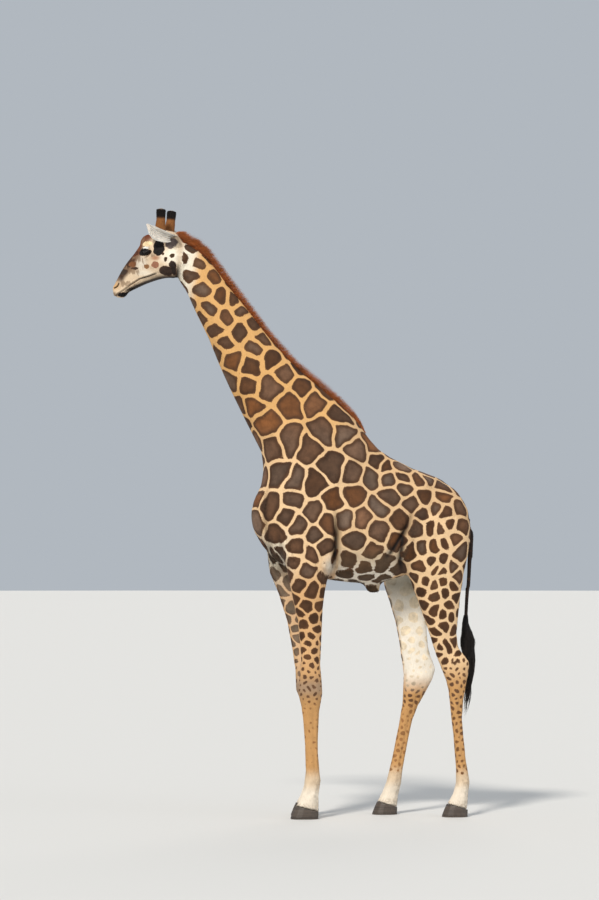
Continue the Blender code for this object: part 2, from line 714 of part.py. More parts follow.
def ossicone(name, side, head):
    """A blunt skin-covered horn, standing up and a little back and outwards."""
    to_body = head_matrix()
    base = to_body @ Vector((0.088, side * OSSICONE_SPREAD, 0.044))
    outwards = (to_body.to_3x3() @ Vector((0, side, 0))).normalized()
    back = -(to_body.to_3x3() @ Vector((1, 0, 0))).normalized()
    axis = (Vector((0, 0, 1)) + 0.10 * outwards + 0.10 * back).normalized()
    across = axis.cross(back).normalized()
    profile = (  # share of the length, radius
        (0.00, 0.040), (0.20, 0.043), (0.42, 0.041), (0.65, 0.036), (0.85, 0.037),
        (0.94, 0.035), (0.98, 0.027), (1.00, 0.012),
    )
    rings = []
    for share, radius in profile:
        centre = base + axis * (share * (OSSICONE_LENGTH + 0.03))
        rings.append(oval(centre, across.cross(axis) * radius, across * radius * 0.94, 0, 2, 10))
    return without(loft(name, rings), head)


def ear(name, side, bodies):
    """A leaf-shaped, cupped ear that points forwards and a little out and up."""
    to_body = head_matrix()
    turn = to_body.to_3x3()
    root = to_body @ Vector((-0.014, side * 0.084, -0.076))
    to_muzzle, outwards = turn @ Vector((1, 0, 0)), (turn @ Vector((0, side, 0))).normalized()
    level = Vector((to_muzzle.x, to_muzzle.y, 0)).normalized()
    along = (level * 0.80 + outwards * 0.42 + Vector((0, 0, 0.40))).normalized()
    facing = (outwards - along * outwards.dot(along)).normalized()
    rise = along.cross(facing) * (-side)
    rise = rise if rise.z > 0 else -rise
    stations = (  # share of the length, width, depth of the cup
        (0.00, 0.034, 0.024), (0.08, 0.046, 0.030), (0.20, 0.068, 0.033), (0.36, 0.086, 0.030),
        (0.52, 0.095, 0.024), (0.66, 0.096, 0.018), (0.80, 0.074, 0.011), (0.92, 0.038, 0.005),
        (1.00, 0.010, 0.001),
    )
    strips = 6
    shape = bmesh.new()
    rows = []
    for share, width, cup in stations:
        row = []
        for i in range(strips + 1):
            across = 2 * i / strips - 1
            point = root + along * (share * EAR_LENGTH)
            point += rise * (0.017 + 0.004 * math.sin(math.pi * share) + (across - 1) * width / 2)
            point += facing * (cup * (across * across - 1))
            row.append(shape.verts.new(point))
        rows.append(row)
    for here, beyond in zip(rows, rows[1:]):
        for i in range(strips):
            shape.faces.new((here[i], here[i + 1], beyond[i + 1], beyond[i]))
    bmesh.ops.recalc_face_normals(shape, faces=shape.faces)
    mesh = bpy.data.meshes.new(name)
    shape.to_mesh(mesh)
    shape.free()
    obj = link(mesh, name)
    wall = obj.modifiers.new("wall", "SOLIDIFY")
    wall.thickness = EAR_WALL
    wall.offset = 0.0
    obj = baked(obj)
    for body in bodies:
        obj = without(obj, body)
    return obj


def mane(bodies):
    """The upright mane, from the poll to the withers, sitting on the crest of the neck."""
    rows = curve_rows(MANE_SLICES, 0)
    rings = []
    for i, (x, z, lean, height) in enumerate(rows):
        before, after = rows[max(i - 1, 0)], rows[min(i + 1, len(rows) - 1)]
        along = Vector((after[0] - before[0], after[2] - before[2], after[1] - before[1])).normalized()
        side = (Vector((0, 1, 0)) - along * along.y).normalized()
        up = side.cross(along).normalized()
        up = up if up.z > 0 else -up
        buried = 0.035
        centre = Vector((x, lean, z)) + up * ((height - buried) / 2)
        width = MANE_WIDTH * (0.5 - 0.20 * i / (len(rows) - 1))
        rings.append(oval(centre, up * ((height + buried) / 2), side * width, 0.35, 2.2, 8))
    hair = loft("mane", rings)
    for body in bodies:
        hair = without(hair, body, 0.0006)
    return hair


def tail_parts():
    tail = tube("tail", TAIL_PATH, TAIL_RADII, 10)
    spare, tail = sliced(tail, "spare", "tail", (0, 0, TAIL_ROOT_LEVEL), (0, 0, 1))
    bpy.data.objects.remove(spare)
    tail, spare = sliced(tail, "tail", "spare", (0, 0, TUFT_TOP_LEVEL), (0, 0, 1))
    bpy.data.objects.remove(spare)
    tuft = tube("tail_tuft", TUFT_PATH, TUFT_RADII, 10)
    spare, tuft = sliced(tuft, "spare", "tail_tuft", (0, 0, TUFT_TOP_LEVEL), (0, 0, 1))
    bpy.data.objects.remove(spare)
    return tail, tuft


def finish_object(obj, slot, collection):
    obj.data.materials.clear()
    obj.data.materials.append(material(f"{obj.name}_{slot}", slot))
    bpy.context.scene.collection.objects.unlink(obj)
    collection.objects.link(obj)
    obj.data.shade_smooth()
    obj.data.set_sharp_from_angle(angle=math.radians(50))


def centre_on_floor(objects):
    """Puts the middle of the model's box over the origin, with the soles on z = 0."""
    corners = [vert.co for obj in objects for vert in obj.data.vertices]
    low = [min(corner[axis] for corner in corners) for axis in range(3)]
    high = [max(corner[axis] for corner in corners) for axis in range(3)]
    shift = Matrix.Translation((-(low[0] + high[0]) / 2, -(low[1] + high[1]) / 2, -low[2]))
    for obj in objects:
        obj.data.transform(shift)
    print("moved by", [round(x, 4) for x in shift.translation])


def main():
    clear_scene()
    flesh = whole_flesh()

    flesh, fore_left = part_leg(flesh, "fore_left", -1, (-0.760, -0.215), 0.0, 1.870, 2.560)
    flesh, fore_right = part_leg(flesh, "fore_right", 1, (-0.800, -0.235), 0.0, 1.870, 2.560)
    flesh, hind_left = part_leg(flesh, "hind_left", -1, (0.265, 1.200), 0.42, 1.960, 2.900)
    flesh, hind_right = part_leg(flesh, "hind_right", 1, (0.130, 1.200), 0.58, 1.960, 2.900)

    limbs, claws = [], []
    for leg_part, prefix, slices, side, levels, set_back in (
        (fore_left, "fore_left", FORELEG_SLICES, -1, (1.000, 0.300), 0.0),
        (fore_right, "fore_right", FORELEG_SLICES, 1, (1.000, 0.300), lean_at(RIGHT_FORELEG_LEAN, 0.0)),
        (hind_left, "hind_left", HIND_LEG_NEAR_SLICES, -1, (1.170, 0.290), 0.0),
        (hind_right, "hind_right", HIND_LEG_FAR_SLICES, 1, (1.110, 0.290), 0.0),
    ):
        pieces, pair = leg_parts(leg_part, prefix, slices, side, levels, set_back)
        limbs += pieces
        claws += pair

    stub_end = block("stub_cutter", ((0.86, TAIL_ROOT_LEVEL), (1.2, TAIL_ROOT_LEVEL), (1.2, 1.9), (0.86, 1.9)),
                     flat(-0.06), flat(0.06))
    flesh = largest_body(boolean(flesh, stub_end, "DIFFERENCE"))
    bpy.data.objects.remove(stub_end)

    head, flesh = sliced(flesh, "head", "rest", (-1.447, 0.07, 4.45), (-1.0, 0.25, 0.12))
    upper, flesh = sliced(flesh, "neck_upper", "rest", (-1.090, 0, 3.930), (-0.63, 0.0, 0.78))
    middle, flesh = sliced(flesh, "neck_middle", "rest", (-0.780, 0, 3.450), (-0.54, 0.0, 0.84))
    lower, trunk = sliced(flesh, "neck_lower", "trunk", (-0.450, 0, 3.050), (-0.44, 0.0, 0.90))

    head, jaw, eyes = head_parts(head)
    horns = [ossicone(f"ossicone_{name}", side, head) for name, side in HEAD_SIDES]
    ears = [ear(f"ear_{name}", side, (head, upper)) for name, side in HEAD_SIDES]
    crest = mane([head, upper, middle, lower, trunk])
    for horn in horns:
        crest = without(crest, horn)
    tail, tuft = tail_parts()

    finished = {
        "coat": [head, jaw, upper, middle, lower, trunk, tail, *limbs],
        "eye": eyes,
        "horn": [*claws, *horns],
        "ear": ears,
        "mane_hair": [crest],
        "dark_hair": [tuft],
    }
    giraffe = bpy.data.collections.new("giraffe")
    bpy.context.scene.collection.children.link(giraffe)
    for slot, objects in finished.items():
        for obj in objects:
            finish_object(obj, slot, giraffe)
    centre_on_floor([obj for objects in finished.values() for obj in objects])


main()
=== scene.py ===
# %% [markdown]
# # A giraffe, life size
#
# This lesson dresses a plain solid model of a giraffe. Everything made here is laid over them: one
# skin, the coat with its patches, eyes, ears, horns, hooves, the mane and the tail.

# %% Load the solid model
import math

import bmesh
import bpy
import numpy as np
from mathutils import Matrix, Vector
from mathutils.bvhtree import BVHTree


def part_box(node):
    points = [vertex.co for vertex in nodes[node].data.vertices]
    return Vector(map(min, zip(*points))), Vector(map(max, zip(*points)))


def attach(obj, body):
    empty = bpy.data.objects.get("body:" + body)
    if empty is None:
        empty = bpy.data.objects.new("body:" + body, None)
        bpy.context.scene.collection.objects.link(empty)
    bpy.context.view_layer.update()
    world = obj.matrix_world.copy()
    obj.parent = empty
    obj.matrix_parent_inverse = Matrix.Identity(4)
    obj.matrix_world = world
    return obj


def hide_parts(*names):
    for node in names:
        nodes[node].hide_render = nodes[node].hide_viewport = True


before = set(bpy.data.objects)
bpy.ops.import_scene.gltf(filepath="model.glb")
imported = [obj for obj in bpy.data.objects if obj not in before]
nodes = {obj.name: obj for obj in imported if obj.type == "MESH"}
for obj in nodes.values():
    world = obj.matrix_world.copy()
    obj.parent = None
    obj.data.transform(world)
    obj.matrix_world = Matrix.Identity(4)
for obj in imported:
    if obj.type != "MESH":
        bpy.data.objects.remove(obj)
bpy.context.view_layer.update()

# %% [markdown]
# ## Places on the animal
#
# The animal stands along X with its face towards -X, its left side towards -Y and its soles on
# z = 0. The head is turned and tilted, so it gets its own axes: one runs to the muzzle, one to the
# animal's left and one off the brow. Lengths along them are easy to name, and the same numbers
# with the side reversed serve the other half of the face.

# %% The head's own axes
POLL = np.array((-0.9821, 0.0418, 4.650))
TO_MUZZLE = np.array((-0.6443, 0.4346, -0.6293))
OFF_BROW = np.array((-0.5217, 0.3519, 0.7771))
TO_LEFT = np.cross(OFF_BROW, TO_MUZZLE)
HEAD_AXES = np.stack((TO_MUZZLE, TO_LEFT, OFF_BROW))


def on_head(forward, left, up):
    """A place given along the head's own axes, in the model's coordinates."""
    return POLL + forward * TO_MUZZLE + left * TO_LEFT + up * OFF_BROW


def head_view(points):
    """The model's points in the head's own axes."""
    return (points - POLL) @ HEAD_AXES.T


def ramp(values, low, high):
    """0 below low, 1 above high, and a soft slope between. It also falls, if high < low."""
    share = np.clip((values - low) / (high - low), 0, 1)
    return share * share * (3 - 2 * share)


print("muzzle at", on_head(0.70, 0, -0.04).round(3))

# %% [markdown]
# ## One skin
#
# A real hide has no seams at the neck or the knees, but the solids are cut there. A voxel remesh
# melts overlapping shapes into one closed surface, so copies of the flesh solids are swollen a
# little to close the cuts and then melted. The eyeballs go in too, so that the skin runs over
# them, and the lids are opened later. The remesh makes even squares. Only the head and the
# lower legs need small ones, so those are subdivided and drawn back onto the solids.

# %% Melt the flesh solids into one surface
SEPARATE = ("ear", "ossicone", "mane", "tail_tuft", "eye")
FLESH = [name for name in nodes if not name.startswith(SEPARATE) and "hoof" not in name]
SKIN_GRID = 0.0214


def merged(node_name):
    """A bmesh copy of a solid, with its loose triangles joined."""
    shape = bmesh.new()
    shape.from_mesh(nodes[node_name].data)
    bmesh.ops.remove_doubles(shape, verts=shape.verts, dist=0.0001)
    shape.normal_update()
    return shape


def added(name, shape):
    """A scene object that holds the bmesh, which is freed."""
    mesh = bpy.data.meshes.new(name)
    shape.to_mesh(mesh)
    shape.free()
    obj = bpy.data.objects.new(name, mesh)
    bpy.context.collection.objects.link(obj)
    return obj


def melted(name, node_names, grid, swell):
    """One closed surface round the named solids."""
    together = bmesh.new()
    for node_name in node_names:
        shape = merged(node_name)
        for vert in shape.verts:
            vert.co += vert.normal * swell
        mesh = bpy.data.meshes.new("one")
        shape.to_mesh(mesh)
        shape.free()
        together.from_mesh(mesh)
        bpy.data.meshes.remove(mesh)
    obj = added(name, together)
    remesh = obj.modifiers.new("melt", "REMESH")
    remesh.mode = "VOXEL"
    remesh.voxel_size = grid
    graph = bpy.context.evaluated_depsgraph_get()
    mesh = bpy.data.meshes.new_from_object(obj.evaluated_get(graph))
    obj.modifiers.clear()
    obj.data = mesh
    return obj


skin = melted("skin", FLESH + ["eye_left", "eye_right"], SKIN_GRID, 0.0012)
print("melted", len(FLESH), "solids into", len(skin.data.polygons), "faces")

# %% [markdown]
# The solids are also kept as one search tree, which finds the nearest point of the animal and
# the part that it is on. The skin is drawn onto it, and each of the skin's corners learns its part.

# %% Find the nearest solid
def search_tree(node_names):
    """A tree of the named solids' triangles, and the name's number for each triangle."""
    corners, faces, owner = [], [], []
    for number, node_name in enumerate(node_names):
        shape = merged(node_name)
        start = len(corners)
        corners += [vert.co.copy() for vert in shape.verts]
        faces += [[vert.index + start for vert in face.verts] for face in shape.faces]
        owner += [number] * len(shape.faces)
        shape.free()
    return BVHTree.FromPolygons(corners, faces), np.array(owner)


flesh_tree, flesh_owner = search_tree(FLESH)
outer_tree, _ = search_tree(FLESH + ["eye_left", "eye_right"])


def owners(points):
    """The number in FLESH of the part nearest to each point."""
    return flesh_owner[[flesh_tree.find_nearest(Vector(point))[2] for point in points]]


def coordinates(obj):
    flat = np.empty(len(obj.data.vertices) * 3, dtype=np.float32)
    obj.data.vertices.foreach_get("co", flat)
    return flat.reshape(-1, 3).astype(float)


def normals_of(obj):
    flat = np.empty(len(obj.data.vertices) * 3, dtype=np.float32)
    obj.data.vertices.foreach_get("normal", flat)
    return flat.reshape(-1, 3).astype(float)


def put_back(obj, points):
    obj.data.vertices.foreach_set("co", points.astype(np.float32).ravel())
    obj.data.update()


def relaxed(obj, rounds, weight=1.0, shrink_back=-0.53):
    """Smooths the surface by averaging neighbours. Every second step pushes back, which keeps
    the volume. The weight, one for each corner or one for all, holds parts still."""
    pairs = np.empty(len(obj.data.edges) * 2, dtype=np.int32)
    obj.data.edges.foreach_get("vertices", pairs)
    first, second = pairs.reshape(-1, 2).T
    points = coordinates(obj)
    count = len(points)
    degree = np.bincount(first, minlength=count) + np.bincount(second, minlength=count)
    weight = np.broadcast_to(weight, count)[:, None]
    for step in range(rounds * 2):
        total = np.stack([
            np.bincount(first, points[second, axis], count)
            + np.bincount(second, points[first, axis], count)
            for axis in range(3)
        ], axis=1)
        pull = 0.5 if step % 2 == 0 else shrink_back
        points += pull * weight * (total / degree[:, None] - points)
    put_back(obj, points)


points = coordinates(skin)
print("skin corners on", len(set(owners(points))), "parts")

# %% [markdown]
# The facets of the solids are rubbed down by moving each corner towards the middle of its
# neighbours. Every second round pushes back outwards, so that the body doesn't shrink. The head and
# the lower legs then get smaller faces than the trunk, because their forms are finer.

# %% Smooth the body, then make small faces on the head and the lower legs
def body_weight(points):
    """How much the facets of the solids are rubbed down: fully on the trunk, less on thin parts."""
    return 0.35 + 0.65 * ramp(points[:, 2], 1.2, 2.2) * ramp(points[:, 2], 4.25, 3.95)


relaxed(skin, 14, body_weight(points))


HEAD_CUT, HEAD_CUT_WAY = np.array((-0.947, 0.037, 4.450)), np.array((-0.960, 0.240, 0.140))
EYE = (0.246, 0.093, 0.028)
NOSTRIL = (0.638, 0.056, 0.000)
MOUTH = ((0.712, -0.046), (0.690, -0.050), (0.635, -0.057), (0.540, -0.068), (0.449, -0.088),
         (0.370, -0.128), (0.300, -0.158))


def head_side(points):
    """How far in front of the cut between head and neck each point is, in metres."""
    return (points - HEAD_CUT) @ HEAD_CUT_WAY


def path_distance(points, path):
    """The distance from each point to a line through the path's places, and how far along it
    the nearest place is, from 0 to 1."""
    best, at = np.full(len(points), 9.0), np.zeros(len(points))
    for step, (start, end) in enumerate(zip(path, path[1:])):
        start, end = np.array(start), np.array(end)
        run = end - start
        share = np.clip((points - start) @ run / (run @ run), 0, 1)
        away = np.linalg.norm(points - start - share[:, None] * run, axis=1)
        at = np.where(away < best, (step + share) / (len(path) - 1), at)
        best = np.minimum(best, away)
    return best, at


def stroke(points, path, width, taper=0.35):
    """1 on the path's line, fading out over its width to the sides and over its ends."""
    away, along = path_distance(points, path)
    ends = ramp(along, -0.05, taper) * ramp(1 - along, -0.05, taper) if taper else 1.0
    return np.exp(-(away / width) ** 2) * ends


def face_detail(points):
    """True by the eyes, the nostrils and the mouth, where the smallest faces go."""
    at = head_view(points)
    at[:, 1] = abs(at[:, 1])
    eye = np.linalg.norm(at - (0.246, 0.108, 0.028), axis=1) < 0.062
    nostril = np.linalg.norm(at - NOSTRIL, axis=1) < 0.046
    mouth = (path_distance(at[:, [0, 2]], MOUTH)[0] < 0.022) & (at[:, 0] > 0.28)
    return eye | nostril | mouth


def divided(obj, chosen):
    """Splits the faces between the chosen corners in four."""
    shape = bmesh.new()
    shape.from_mesh(obj.data)
    shape.verts.ensure_lookup_table()
    for vert, inside in zip(shape.verts, chosen):
        vert.select = bool(inside)
    edges = [edge for edge in shape.edges if edge.verts[0].select and edge.verts[1].select]
    bmesh.ops.subdivide_edges(shape, edges=edges, cuts=1, use_grid_fill=True)
    shape.to_mesh(obj.data)
    shape.free()


points = coordinates(skin)
divided(skin, (head_side(points) > -0.04) | (points[:, 2] < 1.20) & (points[:, 0] < 1.33))
divided(skin, head_side(coordinates(skin)) > -0.02)
points = coordinates(skin)
fine = ramp(points[:, 2], 1.24, 1.10) + ramp(head_side(points), -0.06, -0.02)
drawn = np.array([outer_tree.find_nearest(Vector(point))[0] for point in points])
put_back(skin, points + (drawn - points) * np.clip(fine, 0, 1)[:, None])
relaxed(skin, 6, np.clip(fine, 0.05, 1))
divided(skin, face_detail(coordinates(skin)))
relaxed(skin, 2, face_detail(coordinates(skin)) * 1.0)
print("skin now", len(skin.data.polygons), "faces,",
      sum(len(face.vertices) - 2 for face in skin.data.polygons), "triangles")

# %% [markdown]
# ## Folds, lids and tendons
#
# Hide hangs in folds, and tendons and veins stand under it. A sculptor would stroke these in with a
# crease brush. Here a stroke is a line through a few named places with a width and a depth, and
# each corner of the skin near the line moves along its own outward direction. Before the strokes,
# the skin sinks by the depth of the coat, so that the hair laid on it reaches the true outline.

# %% Sink the skin by the coat's depth
def coat_depth(points):
    """The coat's depth in metres: thin on the face and the legs, thickest on the body."""
    body = 0.0035 + 0.0035 * ramp(points[:, 2], 1.0, 2.2)
    return body + (0.0022 - body) * ramp(head_side(points), -0.10, 0.02)


points = coordinates(skin)
put_back(skin, points - normals_of(skin) * coat_depth(points)[:, None])
print("coat depth", coat_depth(points).min().round(4), "to", coat_depth(points).max().round(4), "m")

# %% [markdown]
# Folds, cords and the edges of muscles are long soft strokes along the side of the body. They could
# be drawn with a sculpting brush. A row for each and one function are easier to change and to
# repeat: each stroke is a line in the side view with a width and a height.

# %% Stroke the body
# Each row is a name, a line as (x, z) places in the side view, a width, a height and a side:
# -1 is the animal's left, 1 its right and 0 both.
BODY_STROKES = (
    ("crease behind the elbow",
     ((0.272, 2.47), (0.262, 2.25), (0.258, 2.09), (0.266, 1.94)), 0.025, -0.050, -1),
    ("crease behind the elbow", ((0.200, 2.40), (0.190, 2.20), (0.190, 1.98)), 0.020, -0.034, 1),
    ("elbow", ((0.120, 2.19), (0.180, 2.09)), 0.050, 0.014, -1),
    ("triceps edge", ((0.235, 2.42), (0.225, 2.20), (0.215, 2.02)), 0.030, 0.010, 0),
    ("flank fold",
     ((0.905, 2.48), (0.812, 2.30), (0.745, 2.19), (0.690, 2.10), (0.640, 2.03)), 0.019, -0.024, 0),
    ("flank step", ((0.890, 2.44), (0.785, 2.24), (0.780, 2.05), (0.830, 1.90)), 0.022, -0.026, 0),
    ("thigh's front edge", ((0.960, 2.46), (0.850, 2.26), (0.845, 2.05), (0.890, 1.90)), 0.030, 0.012, 0),
    ("shoulder blade edge", ((0.10, 2.98), (0.22, 2.80), (0.30, 2.60)), 0.030, 0.006, 0),
    ("shoulder hollow", ((0.16, 2.92), (0.28, 2.72), (0.34, 2.54)), 0.030, -0.006, 0),
    ("upper arm edge", ((-0.16, 2.44), (-0.02, 2.26), (0.10, 2.16)), 0.028, -0.008, 0),
    ("chest fold",
     ((-0.27, 2.68), (-0.315, 2.54), (-0.325, 2.40), (-0.300, 2.24), (-0.250, 2.08)), 0.016, 0.012, 0),
    ("chest hollow",
     ((-0.25, 2.68), (-0.290, 2.54), (-0.298, 2.40), (-0.270, 2.24), (-0.215, 2.08)), 0.013, -0.014, 0),
    ("brisket fold", ((-0.235, 2.28), (-0.190, 2.08), (-0.115, 1.88)), 0.010, 0.012, 0),
    ("brisket fold", ((-0.205, 2.30), (-0.160, 2.10), (-0.085, 1.90)), 0.009, -0.012, 0),
    ("brisket fold", ((-0.165, 2.26), (-0.125, 2.10), (-0.060, 1.94)), 0.010, 0.010, 0),
    ("brisket fold", ((-0.135, 2.22), (-0.100, 2.08), (-0.035, 1.96)), 0.009, -0.010, 0),
    ("neck cord", ((-0.78, 4.10), (-0.58, 3.70), (-0.36, 3.28), (-0.22, 2.90)), 0.034, 0.006, 0),
    ("neck groove", ((-0.84, 4.12), (-0.66, 3.68), (-0.47, 3.28), (-0.31, 2.86)), 0.024, -0.008, 0),
    ("windpipe", ((-0.90, 4.18), (-0.72, 3.66), (-0.54, 3.26), (-0.40, 2.96)), 0.026, 0.006, 0),
)


def stroked(points, outward, strokes):
    """Moves points near each stroke's line outwards by its height, or inwards if that is below 0."""
    side_facing = ramp(abs(outward[:, 1]), 0.15, 0.45)
    for _, path, width, height, side in strokes:
        amount = height * stroke(points[:, [0, 2]], path, width) * side_facing
        if side:
            amount = amount * (points[:, 1] * side > 0)
        points = points + outward * amount[:, None]
    return points


points = coordinates(skin)
deep = np.zeros(len(points))
for name, path, width, height, side in BODY_STROKES:
    if abs(height) > 0.0115 and "brisket" not in name and "chest" not in name:
        shown = (side < 0) | (points[:, 1] < 0)
        deep = np.maximum(deep, stroke(points[:, [0, 2]], path, width * 1.3) * shown)
divided(skin, (deep > 0.10) & (abs(normals_of(skin)[:, 1]) > 0.25))
points = stroked(coordinates(skin), normals_of(skin), BODY_STROKES)
put_back(skin, points)
print(len(BODY_STROKES), "strokes on the body")

# %% [markdown]
# Behind the cannon bone run two cords of tendon, with a groove on each side between them and the
# bone. The rear and the depth of each level slice of a leg are measured on the skin, and the groove
# keeps to its share of that depth, so it follows the leg's bend.

# %% Groove the lower legs
def leg_grooves(points, outward):
    for leg in ("fore_left", "fore_right", "hind_left", "hind_right"):
        low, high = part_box(f"{leg}_cannon")
        inside = ((points[:, 2] > 0.30) & (points[:, 2] < high.z - 0.06)
                  & (points[:, 0] > low.x - 0.03) & (points[:, 0] < high.x + 0.03)
                  & (points[:, 1] > low.y - 0.03) & (points[:, 1] < high.y + 0.03))
        level = np.round(points[:, 2] / 0.03).astype(int)
        back = np.zeros(len(points))
        depth = np.ones(len(points))
        for step in np.unique(level[inside]):
            ring = inside & (level == step)
            rear, front = points[ring, 0].max(), points[ring, 0].min()
            back[ring] = rear
            depth[ring] = rear - front
        share = (back - points[:, 0]) / depth
        fade = ramp(points[:, 2], 0.32, 0.42) * ramp(points[:, 2], high.z - 0.10, high.z - 0.20)
        sideways = ramp(abs(outward[:, 1]), 0.35, 0.75)
        groove = (np.exp(-((share - 0.36) / 0.09) ** 2) * 0.0075
                  - np.exp(-((share - 0.17) / 0.09) ** 2) * 0.002)
        points = points - outward * (groove * fade * sideways * inside)[:, None]
    return points


put_back(skin, leg_grooves(coordinates(skin), normals_of(skin)))
relaxed(skin, 1, 0.3)
print("grooves along four cannons")

# %% [markdown]
# ### The face
#
# The face is stroked in the head's own axes, both halves at once. The lips part along a long
# dark line, the nostrils are slits, and the cheek bone and the brow stand out over the eye.

# %% Stroke the face
FACE_STROKES = (
    ("mouth line", tuple((f, u) for f, u in MOUTH), 0.0042, -0.0085),
    ("upper lip", tuple((f, u + 0.011) for f, u in MOUTH), 0.0070, 0.0030),
    ("lower lip", tuple((f, u - 0.011) for f, u in MOUTH[:5]), 0.0060, 0.0026),
    ("mouth corner fold", ((0.330, -0.150), (0.290, -0.166), (0.262, -0.186)), 0.0070, -0.0040),
    ("brow", ((0.290, 0.066), (0.245, 0.082), (0.196, 0.074)), 0.0130, 0.0065),
    ("brow crease", ((0.285, 0.056), (0.246, 0.066), (0.205, 0.058)), 0.0040, -0.0030),
    ("under the eye", ((0.290, 0.000), (0.250, -0.008), (0.205, 0.002)), 0.0060, -0.0028),
    ("cheek bone", ((0.330, 0.000), (0.270, -0.024), (0.190, -0.034), (0.110, -0.030)), 0.0130, 0.0060),
    ("cheek hollow", ((0.400, -0.030), (0.320, -0.050), (0.250, -0.068)), 0.0220, -0.0050),
    ("jaw muscle", ((0.215, -0.110), (0.205, -0.160), (0.150, -0.200)), 0.0160, 0.0045),
    ("jaw edge", ((0.250, -0.180), (0.190, -0.222), (0.120, -0.246)), 0.0110, -0.0050),
    ("throat fold", ((0.110, -0.180), (0.085, -0.220), (0.080, -0.262)), 0.0080, -0.0060),
    ("throat fold", ((0.085, -0.160), (0.058, -0.210), (0.050, -0.262)), 0.0080, 0.0045),
    ("throat fold", ((0.060, -0.150), (0.032, -0.205), (0.022, -0.262)), 0.0080, -0.0055),
    ("temple hollow", ((0.150, 0.030), (0.120, 0.004), (0.100, -0.030)), 0.0220, -0.0060),
    ("nose bone edge", ((0.330, 0.088), (0.450, 0.078), (0.560, 0.058)), 0.0110, 0.0028),
    ("nose side hollow", ((0.360, 0.040), (0.460, 0.034), (0.560, 0.018)), 0.0180, -0.0036),
    ("face vein", ((0.330, -0.020), (0.380, 0.004), (0.450, 0.004), (0.500, 0.018)), 0.0045, 0.0022),
    ("muzzle pad", ((0.690, -0.018), (0.650, -0.026), (0.610, -0.024)), 0.0140, 0.0035),
)
NOSTRIL_SLIT = ((0.664, 0.002), (0.648, -0.004), (0.630, -0.004), (0.612, 0.006))


def face_frame(points):
    """The head's axes with both halves folded onto one."""
    at = head_view(points)
    at[:, 1] = abs(at[:, 1])
    return at


points, outward = coordinates(skin), normals_of(skin)
at = face_frame(points)
on_face = ramp(head_side(points), -0.06, 0.0)
sideways = ramp(abs(outward @ TO_LEFT), 0.12, 0.42) * on_face
for name, path, width, height in FACE_STROKES:
    taper = 0.0 if "lip" in name or "mouth line" in name else 0.3
    height = height * ramp(at[:, 0], 0.285, 0.335) if taper == 0 else height
    points = points + outward * (height * stroke(at[:, [0, 2]], path, width, taper) * sideways)[:, None]
front = on_face * ramp(at[:, 0], 0.66, 0.69) * ramp(at[:, 1], 0.050, 0.030)
split = np.exp(-((at[:, 2] + 0.047) / 0.0045) ** 2) * front
points = points - outward * (0.007 * split * (1 - sideways))[:, None]
slit, _ = path_distance(at[:, [0, 2]], NOSTRIL_SLIT)
nostril_side = ramp(at[:, 1], 0.018, 0.030) * on_face * (at[:, 0] > 0.58)
points = points + outward * (nostril_side * (0.0034 * np.exp(-((slit - 0.0100) / 0.0050) ** 2)
                                             - 0.0140 * np.exp(-(slit / 0.0046) ** 2)))[:, None]
put_back(skin, points)
print(len(FACE_STROKES), "strokes on each half of the face")

# %% [markdown]
# ### The lids
#
# The skin runs over the eyeball now. A real lid is skin that slides on the ball, so the skin near
# the eye is first lifted clear of the ball, and inside an almond outline it is pressed in behind
# the ball. The crisp edge of the lids comes later, as a dark rim.

# %% Open the eyes in the skin
EYE_RADIUS = 0.030
EYES = {side: on_head(EYE[0], EYE[1] * way, EYE[2]) for side, way in (("left", 1), ("right", -1))}
GAZE = {
    side: 0.22 * TO_MUZZLE + way * 0.96 * TO_LEFT + 0.10 * OFF_BROW
    for side, way in (("left", 1), ("right", -1))
}
GAZE = {side: way / np.linalg.norm(way) for side, way in GAZE.items()}
ALMOND_LENGTH, ALMOND_HEIGHT = 0.0270, 0.0150


def eye_axes(side):
    """Along the lids forwards, nearly level, then up across them, and outwards along the gaze."""
    out = GAZE[side]
    along = TO_MUZZLE - (TO_MUZZLE @ out) * out
    along /= np.linalg.norm(along)
    along = along * math.cos(0.52) + OFF_BROW * math.sin(0.52)
    along -= (along @ out) * out
    along /= np.linalg.norm(along)
    up = np.cross(out, along)
    return along, up * np.sign(up @ OFF_BROW), out


def almond(across, up):
    """1 on the lids' edge, less inside. The inner corner, towards the muzzle, is drawn out."""
    length = np.where(across > 0, ALMOND_LENGTH * 1.08, ALMOND_LENGTH)
    height = np.where(up > 0, ALMOND_HEIGHT * 1.05, ALMOND_HEIGHT * 0.85)
    return (abs(across / length) ** 1.7 + abs(up / height) ** 1.7) ** (1 / 1.7)


points = coordinates(skin)
for side, centre in EYES.items():
    along, up, out = eye_axes(side)
    away = points - centre
    depth = away @ out
    ring = almond(away @ along, away @ up)
    reach = np.linalg.norm(away, axis=1)
    near = (reach < 0.075) & (depth > -0.010)
    lid = near & (ring > 0.9)
    clear = EYE_RADIUS + 0.0042 - 0.0022 * ramp(ring, 1.5, 2.4)
    lift = np.where(lid, np.maximum(clear - reach, 0), 0)
    points += away / reach[:, None] * lift[:, None]
    low = np.maximum(np.linalg.norm(points - centre, axis=1) - (EYE_RADIUS + 0.0042), 0)
    points -= away / reach[:, None] * (low * near * ramp(ring, 1.6, 1.1))[:, None]
    inside = near & (ring < 0.92)
    points -= out * (0.022 * ramp(ring, 0.92, 0.80) * inside)[:, None]
put_back(skin, points)
print("lids open", round(ALMOND_LENGTH * 2000), "by", round(ALMOND_HEIGHT * 1900), "mm")

